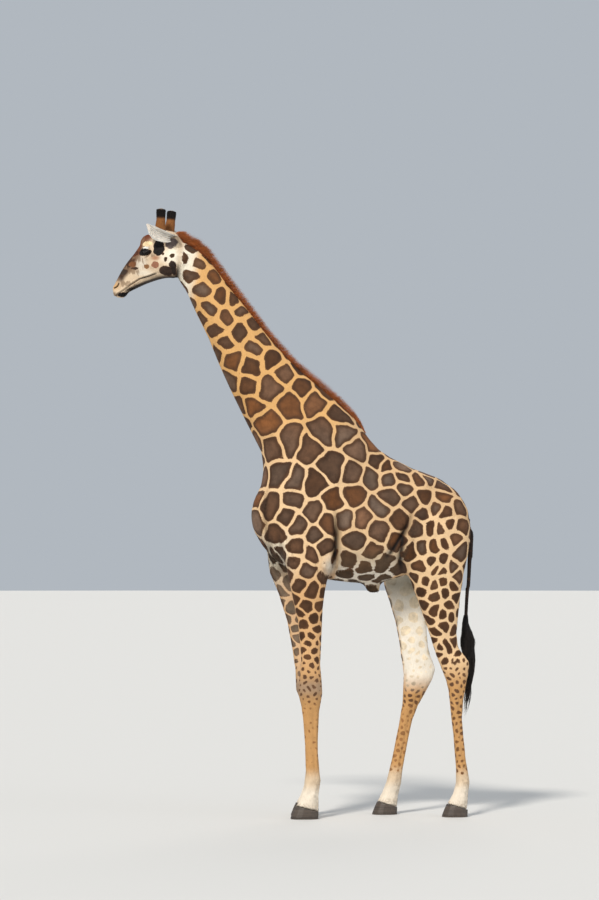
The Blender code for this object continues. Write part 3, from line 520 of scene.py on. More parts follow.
# %% [markdown]
# ## The patches
#
# A giraffe's coat is dark patches parted by pale lines. Each patch grew outward from a middle until
# it met its neighbours, which is what a Voronoi pattern does, so the pattern is worked out the same
# way: a middle for each patch, and each corner of the skin learns how far it is inside the patches
# near it. A noise texture could not do this, because patches are large on the shoulder and tiny on
# the legs. The middles of the large patches on the near side are measured places, listed one by
# one. The rest are thrown at random, as close together as that part of the body has them.

# %% Place the patches
# Middles as (x, z) in the side view, seen from the animal's left.
NECK_PATCHES = (
    (-0.86, 4.54), (-0.92, 4.47), (-0.81, 4.42), (-0.86, 4.31), (-0.68, 4.32), (-0.79, 4.21), (-0.64, 4.15),
    (-0.89, 4.18), (-0.84, 4.07), (-0.73, 4.05), (-0.78, 3.98), (-0.53, 4.13), (-0.46, 4.03), (-0.60, 3.97),
    (-0.49, 3.88), (-0.68, 3.87), (-0.37, 3.93), (-0.30, 3.81), (-0.62, 3.77), (-0.66, 3.71), (-0.35, 3.73),
    (-0.55, 3.64), (-0.24, 3.65), (-0.40, 3.60), (-0.55, 3.46), (-0.43, 3.43), (-0.26, 3.41), (-0.13, 3.55),
    (-0.48, 3.29), (-0.39, 3.27), (-0.29, 3.14), (-0.10, 3.29), (0.01, 3.43), (0.11, 3.31),
)
SHOULDER_PATCHES = (
    (-0.24, 2.93), (-0.10, 3.00), (0.05, 2.94), (0.18, 3.08), (0.33, 3.07), (0.32, 3.20), (0.45, 2.93),
    (-0.18, 2.72), (-0.08, 2.68), (0.09, 2.65), (0.23, 2.79), (0.40, 2.74), (0.40, 2.56), (0.56, 2.70),
    (0.63, 2.84), (-0.25, 2.47), (-0.09, 2.51), (-0.14, 2.41), (0.07, 2.44), (0.24, 2.51), (0.61, 2.47),
    (0.46, 2.38), (0.76, 2.37), (-0.05, 2.32), (0.08, 2.25), (0.20, 2.34), (-0.21, 2.24), (0.32, 2.37),
    (0.60, 2.28), (0.41, 2.20), (-0.07, 2.14), (0.16, 2.14), (0.05, 2.09), (0.54, 2.12), (0.75, 2.19),
    (-0.09, 2.03), (0.01, 1.97), (0.37, 2.03), (0.48, 2.00), (0.64, 2.02), (0.59, 2.97), (0.76, 2.90),
)
RUMP_PATCHES = (
    (0.69, 2.80), (0.71, 2.69), (0.69, 2.56), (0.83, 2.79), (0.81, 2.71), (0.82, 2.62), (0.94, 2.70),
    (1.02, 2.70), (1.14, 2.64), (0.87, 2.49), (0.97, 2.55), (1.07, 2.47), (1.14, 2.53), (0.96, 2.41),
    (1.15, 2.43), (1.26, 2.45), (1.17, 2.33), (1.11, 2.30), (1.01, 2.31), (0.91, 2.29), (1.27, 2.32),
    (1.20, 2.23), (1.14, 2.19), (1.06, 2.15), (0.94, 2.14), (0.85, 2.12), (1.27, 2.10), (1.13, 2.04),
    (1.20, 2.01), (0.94, 1.99), (1.02, 2.03), (1.06, 1.97), (1.11, 1.95), (1.26, 1.92), (0.91, 1.91),
    (0.98, 1.89), (1.04, 1.85), (1.13, 1.86), (1.21, 1.84), (0.95, 1.80), (1.04, 1.77), (1.15, 1.79),
)
EVEN = 0.86
PLACES_TRIED = 26000


def spacing(points):
    """The distance between two patch middles, in metres."""
    x, z = points[:, 0], points[:, 2]
    trunk = 0.165 + (0.118 - 0.165) * ramp(x, 0.72, 1.00)
    neck = 0.165 + (0.120 - 0.165) * ramp(z, 3.3, 4.1)
    wide = np.where(z > 3.0, neck, trunk)
    thigh = 0.118 + (0.080 - 0.118) * ramp(z, 2.15, 1.60)
    arm = 0.118 + (0.076 - 0.118) * ramp(z, 2.10, 1.50)
    limb = np.where(x > 0.55, thigh, arm)
    wide = wide + (limb - wide) * ramp(z, 2.30, 2.05)
    return wide + (0.040 - wide) * ramp(z, 1.50, 1.12)


rng = np.random.default_rng(7)
points = coordinates(skin)
skin_tree = BVHTree.FromPolygons(
    [Vector(point) for point in points], [tuple(face.vertices) for face in skin.data.polygons])
middles = []
for x, z in NECK_PATCHES + SHOULDER_PATCHES + RUMP_PATCHES:
    place = skin_tree.ray_cast(Vector((x, -1.2, z)), Vector((0, 1, 0)))[0]
    if place is not None:
        middles.append(np.array(place))
listed = len(middles)
middles = np.array(middles)
tries = rng.permutation(len(points))[:PLACES_TRIED]
room = spacing(points) * EVEN
faces_away = normals_of(skin)[:, 1] > -0.25
for index in tries:
    point = points[index]
    nearest = np.linalg.norm(middles - point, axis=1).min()
    if nearest > room[index] and (faces_away[index] or point[2] < 1.72 or nearest > 1.25 * room[index]):
        middles = np.vstack((middles, point))
print(listed, "patches listed,", len(middles) - listed, "thrown")

# %% [markdown]
# The line between two patches lies halfway between their middles. The distance to that halfway
# plane is exact and easy, and taking away half the pale line's width gives a number that is above 0
# inside a patch. The lines are thinner than the skin's faces, so one number is not enough: it would
# never dip between two corners. The patches are sorted into six kinds, so that no two neighbours are
# alike, as on a map. Each corner keeps how far it is inside each kind, and the shader takes the
# greatest. Before measuring, the points are shaken by slow waves, which bends the lines.

# %% Measure how far inside its patch each corner is
def waves(points, length, height, seed):
    """Slow three-way waves: how far to shake each point."""
    random = np.random.default_rng(seed)
    shake = np.zeros_like(points)
    for octave in range(4):
        way = random.normal(size=(3, 3))
        way /= np.linalg.norm(way, axis=1)[:, None]
        phase = random.uniform(0, 6.28, 3)
        reach = length / 1.6 ** octave
        shake += np.sin(points @ way.T * 6.28 / reach + phase) * height / 1.35 ** octave
    return shake


def line_width(points):
    """Half the width of the pale line between two patches."""
    x, z = points[:, 0], points[:, 2]
    half = 0.0108 + 0.0058 * ramp(z, 2.7, 3.9) + 0.0008 * ramp(x, 0.8, 1.0)
    half = half + (0.0078 - half) * ramp(z, 2.1, 1.5)
    return half + (0.0030 * (x < 0.5) - 0.0014 * (x > 0.5)) * ramp(z, 1.02, 0.80)


def inside_patch(points):
    """Metres inside the patch, below 0 on the pale lines, the patch's number, and the same metres
    for each of the six kinds."""
    shaken = points + waves(points, 0.30, 0.0075, 3)
    edge = np.empty(len(points))
    around = np.empty((len(points), 7), dtype=int)
    border = np.empty((len(points), 6))
    for start in range(0, len(points), 4000):
        part = shaken[start:start + 4000]
        squares = ((part[:, None, :] - middles[None]) ** 2).sum(axis=2)
        order = np.argpartition(squares, 7, axis=1)[:, :7]
        near = np.take_along_axis(squares, order, axis=1)
        rank = np.argsort(near, axis=1)
        order = np.take_along_axis(order, rank, axis=1)
        near = np.take_along_axis(near, rank, axis=1)
        gap = np.linalg.norm(middles[order[:, 1:]] - middles[order[:, :1]], axis=2)
        plane = (near[:, 1:] - near[:, :1]) / (2 * gap)
        soft = 0.006
        least = plane.min(axis=1)
        round_off = soft * np.log(np.exp(-(plane - least[:, None]) / soft).sum(axis=1))
        edge[start:start + 4000] = least - round_off
        around[start:start + 4000] = order
        border[start:start + 4000] = plane
    rows = np.arange(len(points))
    touching = [set() for _ in middles]
    close = border < 0.030
    pairs = np.stack((np.repeat(around[:, 0], 6)[close.ravel()],
                      around[:, 1:].ravel()[close.ravel()]), axis=1)
    for first, second in np.unique(pairs, axis=0):
        touching[first].add(second)
        touching[second].add(first)
    kind = np.full(len(middles), -1)
    for number in sorted(range(len(middles)), key=lambda number: -len(touching[number])):
        free = set(range(6)) - {kind[other] for other in touching[number]}
        kind[number] = min(free, default=0)
    kinds = np.full((len(points), 6), -0.05)
    for rank in range(6):
        column = kind[around[:, rank + 1]]
        kinds[rows, column] = np.maximum(kinds[rows, column], -border[:, rank])
    kinds[rows, kind[around[:, 0]]] = edge
    half = line_width(points)
    return edge - half, around[:, 0], kinds - half[:, None]


edge, patch_number, kinds = inside_patch(points)
first_edge = edge.copy()
print("share of the skin inside patches:", round(float((edge > 0).mean()), 2))

# %% [markdown]
# ## Colours of the coat
#
# Each corner of the skin carries two colours: that of the pale ground and that of the patch. A
# shader could hold them in masks, but then the hairs would need the same masks. Kept as
# attributes on the mesh, they are copied from the skin to each tuft's root in one step, so skin and
# coat can't disagree. Colours are typed as they look on screen and turned into light values.

# %% Body colours
def tint(red, green, blue):
    """A colour as seen on screen, 0 to 255, turned into the linear values that shaders use."""
    value = np.array((red, green, blue)) / 255
    return np.where(value > 0.04045, ((value + 0.055) / 1.055) ** 2.4, value / 12.92)


def blend(colours, colour, weight):
    return colours + (np.asarray(colour) - colours) * np.clip(weight, 0, 1)[:, None]


part_number = owners(points)
part_name = np.array(FLESH)[part_number]
on_limb = np.array(["leg" in name or "cannon" in name or "foot" in name for name in FLESH])[part_number]
outward = normals_of(skin)
x, y, z = points.T
inner_side = ramp(-outward[:, 1] * np.sign(y), 0.10, 0.65)
underneath = ramp(-outward[:, 2], 0.35, 0.80)
neck_line = ramp(z, 2.70, 3.30)
forehand = ramp(x, 0.45, 0.05)

ground = np.tile(tint(228, 192, 148), (len(points), 1))
ground = blend(ground, tint(214, 165, 104), neck_line)
ground = blend(ground, tint(226, 176, 118), ramp(z, 2.62, 2.80) * ramp(outward[:, 2], 0.35, 0.75) * 0.8)
ground = blend(ground, tint(200, 178, 148), ramp(z, 2.24, 2.04) * ~on_limb)
ground = blend(ground, tint(208, 160, 108), ramp(z, 2.05, 1.80) * on_limb * (x < 0.55) * 0.8)
ground = blend(ground, tint(192, 145, 92), ramp(z, 1.30, 1.02) * on_limb)
ground = blend(ground, tint(150, 128, 108), np.exp(-((z - 1.04) / 0.075) ** 2) * on_limb * (x < 0.5) * 0.8)
ground = blend(ground, tint(214, 190, 160), ramp(z, 0.42, 0.30) * on_limb)
ground = blend(ground, tint(236, 226, 210), ramp(z, 0.30, 0.20) * on_limb * 0.7)
ground = blend(ground, tint(204, 168, 126), ramp(x, 0.25, 0.45) * ramp(z, 2.10, 2.35) * ~on_limb * 0.8)
white_side = inner_side * on_limb * ramp(z, 2.15, 1.95) * ramp(z, 0.95, 1.16) * np.where(x < 0.5, 0.14, 1.0)
ground = blend(ground, tint(240, 231, 216), white_side)
# Painted shade: the upper inner side of the legs is greyed, as if shaded by the belly and the near thigh.
ground = blend(ground, tint(170, 164, 150), white_side * ramp(z, 1.66, 1.86))
ground = blend(ground, tint(232, 222, 206), underneath * ramp(z, 2.4, 2.2) * ~on_limb)
ground = blend(ground, tint(236, 226, 206), ramp(head_side(points), -0.20, -0.08) * ramp(x, -0.74, -0.84))
ground = blend(ground, tint(234, 222, 200),
               np.exp(-((x + 0.20) / 0.09) ** 2) * ramp(z, 2.34, 2.20) * ramp(z, 1.75, 1.95) * 0.8)
ground = blend(ground, tint(238, 228, 212), np.exp(-((x - 0.21) / 0.05) ** 2 - ((z - 2.0) / 0.07) ** 2))

tone = np.random.default_rng(5).normal(0, 1, (len(middles), 2))[patch_number]
patch = np.tile(tint(62, 40, 24), (len(points), 1))
patch = blend(patch, tint(76, 50, 30), ramp(z, 3.1, 3.9))
patch = blend(patch, tint(68, 43, 24), ramp(x, 0.75, 1.05) * ramp(z, 2.9, 2.5))
# Patch middles are lighter: a painted grey sheen, blended into a warm red-brown that is the patch's own
# tone. It varies from patch to patch and is warmest on the neck.
warm = np.clip(0.5 + 0.35 * tone[:, 1] + 0.45 * ramp(z, 2.95, 3.25) * ramp(z, 3.9, 3.5), 0, 1)
heart_sheen_and_tone = tint(112, 94, 80) + (tint(116, 72, 38) - tint(112, 94, 80)) * warm[:, None]
deep = ramp(edge, 0.004, 0.040) * (0.62 + 0.16 * np.clip(tone[:, 0], -1.5, 1.5))
patch = patch + (heart_sheen_and_tone - patch) * deep[:, None]
patch = blend(patch, tint(70, 44, 24), ramp(z, 2.05, 1.70) * 0.75)
patch = blend(patch, tint(86, 62, 44), ramp(z, 1.30, 1.12))
patch = blend(patch, tint(150, 104, 62), ramp(z, 0.98, 0.84) * (x < 0.5))
patch = blend(patch, tint(112, 76, 44), ramp(z, 0.95, 0.75) * (x > 0.5))
patch = blend(patch, tint(166, 118, 72), ramp(z, 0.95, 0.80) * (x > 0.5) * (y > 0) * 0.7)
patch = blend(patch, tint(235, 218, 190), white_side)
# Painted shade: the patches high on the inner hind thigh are greyed the same way.
patch = blend(patch, tint(160, 152, 136), white_side * ramp(z, 1.66, 1.86) * (x > 0.5))
plain = np.maximum(white_side, ramp(z, 1.1, 0.9))[:, None]
patch = blend(patch, tint(84, 65, 46), ramp(z, 2.20, 2.02) * ~on_limb * 0.8)
patch = blend(patch, tint(62, 42, 30), ramp(z, 2.62, 2.80) * ramp(outward[:, 2], 0.35, 0.75) * forehand)

patch = blend(patch, tint(44, 33, 27), (part_name == "tail") * 1.0)
ground = blend(ground, tint(60, 45, 36), (part_name == "tail") * ramp(z, 2.34, 2.20))
edge = edge - 0.04 * ramp(z, 0.36, 0.28)
edge = edge + 0.02 * (part_name == "tail")
edge = edge - 0.06 * np.exp(-((x - 0.21) / 0.05) ** 2 - ((z - 2.0) / 0.07) ** 2)
edge = edge - (0.003 + 0.007 * ramp(z, 1.25, 1.55)) * white_side * (x > 0.5)
broken = ramp(z, 2.26, 2.02) * ~on_limb
edge = edge + broken * (waves(points, 0.075, 0.0070, 9)[:, 0] - 0.001)

# The deepest folds are painted dark inside: painted shade, as falls in a deep crease.
crease_shade = np.zeros(len(points))
for name, path, width, height, side in BODY_STROKES:
    if height < -0.011:
        dark = stroke(points[:, [0, 2]], path, width * 1.1) * ramp(abs(outward[:, 1]), 0.05, 0.25)
        shown = (side == 0) | (y * side > 0)
        crease_shade = np.maximum(crease_shade, dark * shown * np.clip(-height / 0.024, 0.6, 1))
crease_shade *= ramp(head_side(points), -0.05, -0.15)

patch *= np.exp(0.13 * tone[:, :1] * (1 - 0.8 * plain))
# Painted shade in the deepest folds darkens both the ground and the patch colours.
ground = blend(ground, tint(30, 25, 23), crease_shade)
patch = blend(patch, tint(24, 20, 18), crease_shade)
print("ground from", ground.min(axis=0).round(2), "to", ground.max(axis=0).round(2))

# %% [markdown]
# The face has no patches but soft fields of colour: a red-brown brow, grey-brown along the nose and
# white behind the cheek. Each is a soft ball at a place on the head, with the colour it brings. They
# are placed along two level axes, ahead and up, because the marks follow the level more than the
# muzzle. Over them lie a few crisp marks, such as the dark round the eye and the spots on the
# cheek, which are patches like those of the body and get the same ragged edge.

# %% Face colours
FACE_FIELDS = (
    # ahead, left, up, reach ahead, left and up, colour, strength
    ("poll", 0.120, 0.00, 0.020, 0.090, 0.070, 0.060, tint(140, 92, 58), 0.9),
    ("brow", 0.236, 0.00, -0.012, 0.085, 0.110, 0.072, tint(100, 44, 20), 1.0),
    ("front of the brow", 0.318, 0.00, -0.090, 0.042, 0.075, 0.052, tint(122, 74, 48), 0.9),
    ("bridge, pale", 0.362, 0.05, -0.196, 0.030, 0.050, 0.016, tint(214, 178, 146), 0.7),
    ("bridge, brown", 0.362, 0.03, -0.238, 0.074, 0.095, 0.042, tint(134, 94, 64), 0.95),
    ("bridge, dark", 0.446, 0.01, -0.284, 0.058, 0.095, 0.040, tint(64, 50, 41), 1.0),
    ("nose", 0.498, 0.00, -0.330, 0.056, 0.095, 0.048, tint(102, 76, 62), 1.0),
    ("muzzle", 0.512, 0.04, -0.398, 0.044, 0.060, 0.034, tint(208, 164, 112), 0.9),
    ("lip's tip", 0.520, 0.02, -0.462, 0.026, 0.050, 0.018, tint(92, 62, 44), 0.9),
    ("side of the face", 0.268, 0.09, -0.230, 0.060, 0.060, 0.060, tint(226, 214, 196), 0.9),
    ("side of the jaw", 0.240, 0.08, -0.306, 0.075, 0.060, 0.024, tint(236, 224, 204), 0.85),
    ("white behind the cheek", -0.010, 0.08, -0.180, 0.060, 0.060, 0.080, tint(243, 234, 216), 1.0),
    ("white before it", 0.050, 0.09, -0.180, 0.055, 0.060, 0.045, tint(238, 226, 204), 0.9),
    ("grey under the ear", 0.086, 0.10, -0.044, 0.060, 0.060, 0.028, tint(122, 119, 113), 0.95),
    ("under the temple", 0.128, 0.10, -0.190, 0.040, 0.060, 0.020, tint(164, 104, 70), 0.8),
    ("throat", 0.060, 0.03, -0.345, 0.110, 0.070, 0.022, tint(62, 49, 43), 0.9),
)
FACE_MARKS = (
    # ahead, left, up, reach ahead and up, colour
    ("round the eye", 0.228, 0.11, -0.142, 0.066, 0.030, tint(22, 17, 15)),
    ("bridge, red", 0.346, 0.03, -0.144, 0.056, 0.026, tint(84, 46, 28)),
    ("bridge, brown", 0.352, 0.05, -0.232, 0.040, 0.022, tint(116, 74, 46)),
    ("bridge, streak", 0.330, 0.06, -0.264, 0.042, 0.011, tint(64, 48, 38)),
    ("bridge, dark", 0.446, 0.03, -0.288, 0.044, 0.028, tint(60, 47, 39)),
    ("temple", 0.102, 0.10, -0.110, 0.050, 0.064, tint(24, 19, 18)),
    ("over the eye", 0.211, 0.09, -0.073, 0.052, 0.023, tint(234, 208, 164)),
    # The next mark, on the upper lid, is a painted highlight: a pale glint along the lid.
    ("upper lid", 0.212, 0.11, -0.108, 0.030, 0.009, tint(230, 224, 214)),
    ("cheek, front", 0.212, 0.10, -0.258, 0.028, 0.018, tint(142, 100, 64)),
    ("cheek, rear", 0.130, 0.10, -0.243, 0.031, 0.028, tint(152, 104, 80)),
    ("jaw, first", 0.060, 0.10, -0.159, 0.012, 0.013, tint(60, 43, 28)),
    ("jaw, second", 0.043, 0.10, -0.203, 0.014, 0.020, tint(58, 42, 26)),
    ("jaw, third", -0.012, 0.09, -0.174, 0.022, 0.018, tint(60, 45, 30)),
    ("jaw's corner", -0.013, 0.08, -0.250, 0.027, 0.034, tint(48, 36, 32)),
    ("throat", 0.044, 0.07, -0.296, 0.056, 0.040, tint(62, 46, 38)),
    ("throat, rear", -0.014, 0.07, -0.292, 0.026, 0.044, tint(42, 32, 28)),
    # The next mark, under the ear, is painted shadow: the ear's shadow on the side of the head.
    ("under the ear", 0.002, 0.08, -0.084, 0.044, 0.036, tint(104, 92, 90)),
    ("chin", 0.444, 0.02, -0.470, 0.054, 0.021, tint(24, 20, 19)),
)
mottle = waves(points, 0.09, 0.011, 21)[:, 0]
DROOP = math.asin(-TO_MUZZLE[2])
at = face_frame(points)
ahead = at[:, 0] * math.cos(DROOP) + at[:, 2] * math.sin(DROOP)
aloft = at[:, 2] * math.cos(DROOP) - at[:, 0] * math.sin(DROOP)
on_face = ramp(head_side(points), -0.050, 0.004)
face = np.tile(tint(220, 196, 166), (len(points), 1))
top = ramp(outward @ OFF_BROW, 0.05, 0.55) * ramp(at[:, 0], 0.20, 0.30) * ramp(at[:, 0], 0.60, 0.54)
face = blend(face, tint(112, 78, 56), top * 0.85)
for _, forward, left, up, reach_f, reach_l, reach_u, colour, strength in FACE_FIELDS:
    far = (((ahead - forward) / reach_f) ** 2 + ((at[:, 1] - left) / reach_l) ** 2
           + ((aloft - up) / reach_u) ** 2)
    face = blend(face, colour, strength * np.exp(-far ** 1.6))
column = np.clip((at[:, 0] / 0.02).astype(int), 0, 40)
lowest = np.full(41, 9.0)
np.minimum.at(lowest, column[on_face > 0.9], at[on_face > 0.9, 2])
over_edge = at[:, 2] - np.interp(at[:, 0] / 0.02, np.arange(41) + 0.5, np.minimum(lowest, 0.1))
highest = np.full(41, -9.0)
np.maximum.at(highest, column[on_face > 0.9], at[on_face > 0.9, 2])
from_top = np.interp(at[:, 0] / 0.02, np.arange(41) + 0.5, np.maximum(highest, -0.1)) - at[:, 2]
strip = ramp(from_top, 0.104, 0.056) * ramp(at[:, 0], 0.17, 0.24) * ramp(at[:, 0], 0.62, 0.56)
strip_colour = blend(np.tile(tint(112, 62, 36), (len(at), 1)), tint(58, 36, 24), ramp(at[:, 0], 0.30, 0.44))
face = blend(face, strip_colour, strip * 0.96)
grey_spots = ramp(mottle, 0.002, 0.012) * ramp(at[:, 0], 0.16, 0.24) * ramp(at[:, 0], 0.66, 0.58)
face = blend(face, tint(134, 108, 84), grey_spots * 0.50 * (0.5 + ramp(at[:, 2], -0.09, -0.03)))
# Painted shade: the lowest strip of the face, along the jaw's lower edge, is darkened as if shaded from
# above.
jaw_edge_shade = ramp(over_edge, 0.026, 0.010) * ramp(at[:, 0], 0.08, 0.16) * ramp(at[:, 0], 0.64, 0.58)
face = blend(face, tint(46, 37, 33), jaw_edge_shade)
# Dark along the mouth line: the parting of the lips, and behind the mouth's corner, where it is strongest,
# painted shade in the fold of the cheek.
mouth = stroke(at[:, [0, 2]], MOUTH, 0.0058, 0) * (0.45 + 0.55 * ramp(at[:, 0], 0.50, 0.40))
face = blend(face, tint(40, 31, 28), mouth * ramp(at[:, 0], 0.280, 0.320))
face = blend(face, tint(52, 42, 38), np.exp(-(path_distance(at[:, [0, 2]], NOSTRIL_SLIT)[0] / 0.0062) ** 2)
             * (at[:, 1] > 0.02) * (at[:, 0] > 0.58) * 0.9)
ground = ground * (1 - on_face[:, None]) + face * on_face[:, None]
edge = edge - 0.20 * ramp(on_face, 0.35, 0.75)
kinds = kinds + (edge - first_edge)[:, None]
marks = np.full(len(points), -0.1)
bent = waves(points, 0.05, 0.0022, 12)
for _, forward, left, up, reach_f, reach_u, colour in FACE_MARKS:
    far = np.sqrt(((ahead - forward + bent[:, 0]) / reach_f) ** 2
                  + ((aloft - up + bent[:, 2]) / reach_u) ** 2
                  + (np.maximum(abs(at[:, 1] - left) - 0.03, 0) / 0.03) ** 2)
    within = np.where(head_side(points) > -0.06, 2.2 * (1 - far) * min(reach_f, reach_u), -1)
    patch[within > edge] = colour
    edge = np.maximum(edge, within)
    marks = np.maximum(marks, within)
print(len(FACE_FIELDS), "fields of colour and", len(FACE_MARKS), "crisp marks on each half of the face")

# %% [markdown]
# ## An unwrap for baking
#
# A material made of patterns has to be baked to a picture before other programs can show it. The
# picture needs a flat layout of the skin. Each part of the body is laid out from the side that it
# faces, as six flat charts, and the charts are stacked on shelves in the square. A tuft later takes
# a tiny patch at its root's place, so that it is baked with its root's colour.

# %% Lay the skin out flat
BAKE_MAP = "OFBake"
FACINGS = ((1, -1, 0, 2), (1, 1, 0, 2), (0, -1, 1, 2), (0, 1, 1, 2), (2, 1, 0, 1), (2, -1, 0, 1))


def body_part(name):
    """The group of solids that is laid out together."""
    if name in ("head", "lower_jaw"):
        return "head"
    return "_".join(name.split("_")[:2]) if name.startswith(("fore", "hind")) else "body"


def shelves(sizes):
    """Places rectangles on shelves, tallest first, and returns their corners and the side of the
    square that holds them."""
    side = math.sqrt(sum(width * height for width, height in sizes)) * 1.02
    while True:
        spots, across, up, tall = {}, 0.0, 0.0, 0.0
        for index in sorted(range(len(sizes)), key=lambda index: -sizes[index][1]):
            width, height = sizes[index]
            if across + width > side:
                across, up, tall = 0.0, up + tall, 0.0
            spots[index] = (across, up)
            across, tall = across + width, max(tall, height)
        if up + tall <= side and max(width for width, _ in sizes) <= side:
            return spots, side
        side *= 1.03


def unwrapped(obj, group_of_vertex, magnify):
    """A layout of the object's faces by part and by the side that each faces, as a UV map."""
    mesh = obj.data
    count = len(mesh.polygons)
    facing = np.empty(count * 3)
    first = np.empty(count, dtype=np.int32)
    total = np.empty(count, dtype=np.int32)
    mesh.polygons.foreach_get("normal", facing)
    mesh.polygons.foreach_get("loop_start", first)
    mesh.polygons.foreach_get("loop_total", total)
    corner = np.empty(len(mesh.loops), dtype=np.int32)
    mesh.loops.foreach_get("vertex_index", corner)
    points = coordinates(obj)
    facing = facing.reshape(-1, 3)
    scores = np.stack([facing[:, axis] * way * (1.35 if axis == 1 else 1.0)
                       for axis, way, _, _ in FACINGS], 1)
    chart = np.repeat(group_of_vertex[corner[first]] * 6 + scores.argmax(axis=1), total)
    places = np.zeros((len(corner), 2))
    charts = np.unique(chart)
    sizes, lows = [], []
    for number in charts:
        chosen = chart == number
        _, _, right, up = FACINGS[number % 6]
        flat = points[corner[chosen]][:, [right, up]] * magnify[number // 6]
        places[chosen] = flat
        lows.append(flat.min(axis=0))
        sizes.append(tuple(flat.max(axis=0) - flat.min(axis=0) + 0.02))
    spots, side = shelves(sizes)
    for index, number in enumerate(charts):
        chosen = chart == number
        places[chosen] = (places[chosen] - lows[index] + spots[index] + 0.01) / side
    layer = mesh.uv_layers.new(name=BAKE_MAP)
    layer.data.foreach_set("uv", places.ravel())
    return len(charts)


GROUPS = sorted({body_part(name) for name in FLESH})
group_of = np.array([GROUPS.index(body_part(name)) for name in FLESH])[part_number]
charts = unwrapped(skin, group_of, [2.2 if name == "head" else 1.0 for name in GROUPS])
print(charts, "charts on the layout")

# %% [markdown]
# ## The coat's shader
#
# One recipe makes the shaders of the skin and of the tufts, which differ only in the bump. It reads
# the two colours and the patch distances, and draws the patch where the greatest is above 0. Fine
# noise shakes that line, as hair ends do. The edge of a patch is redder than its middle. Short hair
# is too fine for mesh everywhere, so a streaky bump lays it on the skin: one noise drawn out along
# the legs and neck, another along the trunk.

# %% Build the coat material
def store(obj, name, kind, values):
    """Keeps values, one row for each corner, on the mesh under a name that shaders can read."""
    layer = obj.data.attributes.new(name, kind, "POINT")
    if kind == "FLOAT_COLOR":
        values = np.concatenate((values, np.ones((len(values), 1))), axis=1)
        layer.data.foreach_set("color", values.astype(np.float32).ravel())
    elif kind == "FLOAT_VECTOR":
        layer.data.foreach_set("vector", values.astype(np.float32).ravel())
    else:
        layer.data.foreach_set("value", values.astype(np.float32).ravel())


class Shader:
    """A material whose nodes are added one by one and wired as they are made."""

    def __init__(self, name):
        self.material = bpy.data.materials.new(name)
        self.material.use_nodes = True
        self.tree = self.material.node_tree
        self.surface = self.tree.nodes["Principled BSDF"]

    def wire(self, socket, value):
        if isinstance(value, bpy.types.NodeSocket):
            self.tree.links.new(value, socket)
        else:
            socket.default_value = value

    def add(self, kind, inputs=(), **settings):
        made = self.tree.nodes.new("ShaderNode" + kind)
        for key, value in settings.items():
            setattr(made, key, value)
        for key, value in dict(inputs).items():
            self.wire(made.inputs[key], value)
        return made.outputs

    def mix(self, share, first, second, way="MIX"):
        out = self.add("Mix", {0: share, 6: first, 7: second}, data_type="RGBA", blend_type=way)
        return out[2]

    def map(self, value, low, high, to_low=0.0, to_high=1.0):
        return self.add("MapRange", {0: value, 1: low, 2: high, 3: to_low, 4: to_high},
                        interpolation_type="SMOOTHSTEP")[0]

    def math(self, way, first, second):
        return self.add("Math", {0: first, 1: second}, operation=way)[0]

    def noise(self, scale, detail, stretch=(1, 1, 1), turn=(0, 0, 0), roughness=0.55):
        place = self.add("TexCoord")["Object"]
        if stretch != (1, 1, 1) or turn != (0, 0, 0):
            place = self.add("Mapping", {"Vector": place, "Scale": stretch, "Rotation": turn})[0]
        return self.add("TexNoise", {"Vector": place, "Scale": scale, "Detail": detail,
                                     "Roughness": roughness})[0]

    def attribute(self, name, output="Color"):
        return self.add("Attribute", attribute_name=name)[output]

    def finish(self, **sockets):
        for name, value in sockets.items():
            self.wire(self.surface.inputs[name.replace("_", " ")], value)
        return self.material


def plain_material(name, colour, roughness):
    return Shader(name).finish(Base_Color=(*colour, 1), Roughness=roughness)


def coat_material(name, bump):
    shader = Shader(name)
    distance = shader.attribute("patch_edge", "Fac")
    for name in ("kinds_a", "kinds_b"):
        for field in shader.add("SeparateXYZ", {0: shader.attribute(name, "Vector")}):
            distance = shader.math("MAXIMUM", distance, field)
    ragged = shader.math("MULTIPLY", shader.math("SUBTRACT", shader.noise(34, 3), 0.5), 0.013)
    fine = shader.math("MULTIPLY", shader.math("SUBTRACT", shader.noise(210, 2), 0.5), 0.008)
    line = shader.math("ADD", shader.math("ADD", distance, ragged), fine)
    inside = shader.map(line, -0.0022, 0.0028)
    middle = shader.map(line, 0.002, 0.016)
    patch_colour = shader.attribute("patch")
    redness = shader.add("SeparateColor", {0: patch_colour})[0]
    rim = shader.mix(shader.map(redness, 0.12, 0.40, 0.30, 0.0), patch_colour, (0.20, 0.085, 0.035, 1))
    patch_colour = shader.mix(middle, rim, patch_colour)
    blotch = shader.noise(17, 4)
    patch_colour = shader.mix(1.0, patch_colour, shader.map(blotch, 0.25, 0.75, 0.76, 1.20), "MULTIPLY")
    pale = shader.mix(1.0, shader.attribute("ground"),
                      shader.map(blotch, 0.25, 0.75, 0.93, 1.05), "MULTIPLY")
    colour = shader.mix(inside, pale, patch_colour)
    upright = shader.noise(260, 3, (1, 1, 0.16), (0, 0.35, 0))
    lying = shader.noise(260, 3, (0.16, 1, 1), (0, 0.45, 0))
    streak = shader.add("Mix", {0: shader.attribute("lies_back", "Fac"), 2: upright, 3: lying})[0]
    colour = shader.mix(1.0, colour, shader.add("MapRange", {0: streak, 3: 0.80, 4: 1.20})[0], "MULTIPLY")
    sockets = {"Base_Color": colour, "Roughness": 0.68, "Specular_IOR_Level": 0.20}
    if bump:
        sockets["Normal"] = shader.add("Bump", {"Strength": 0.55, "Distance": 0.0016, "Height": streak})[0]
    return shader.finish(**sockets)


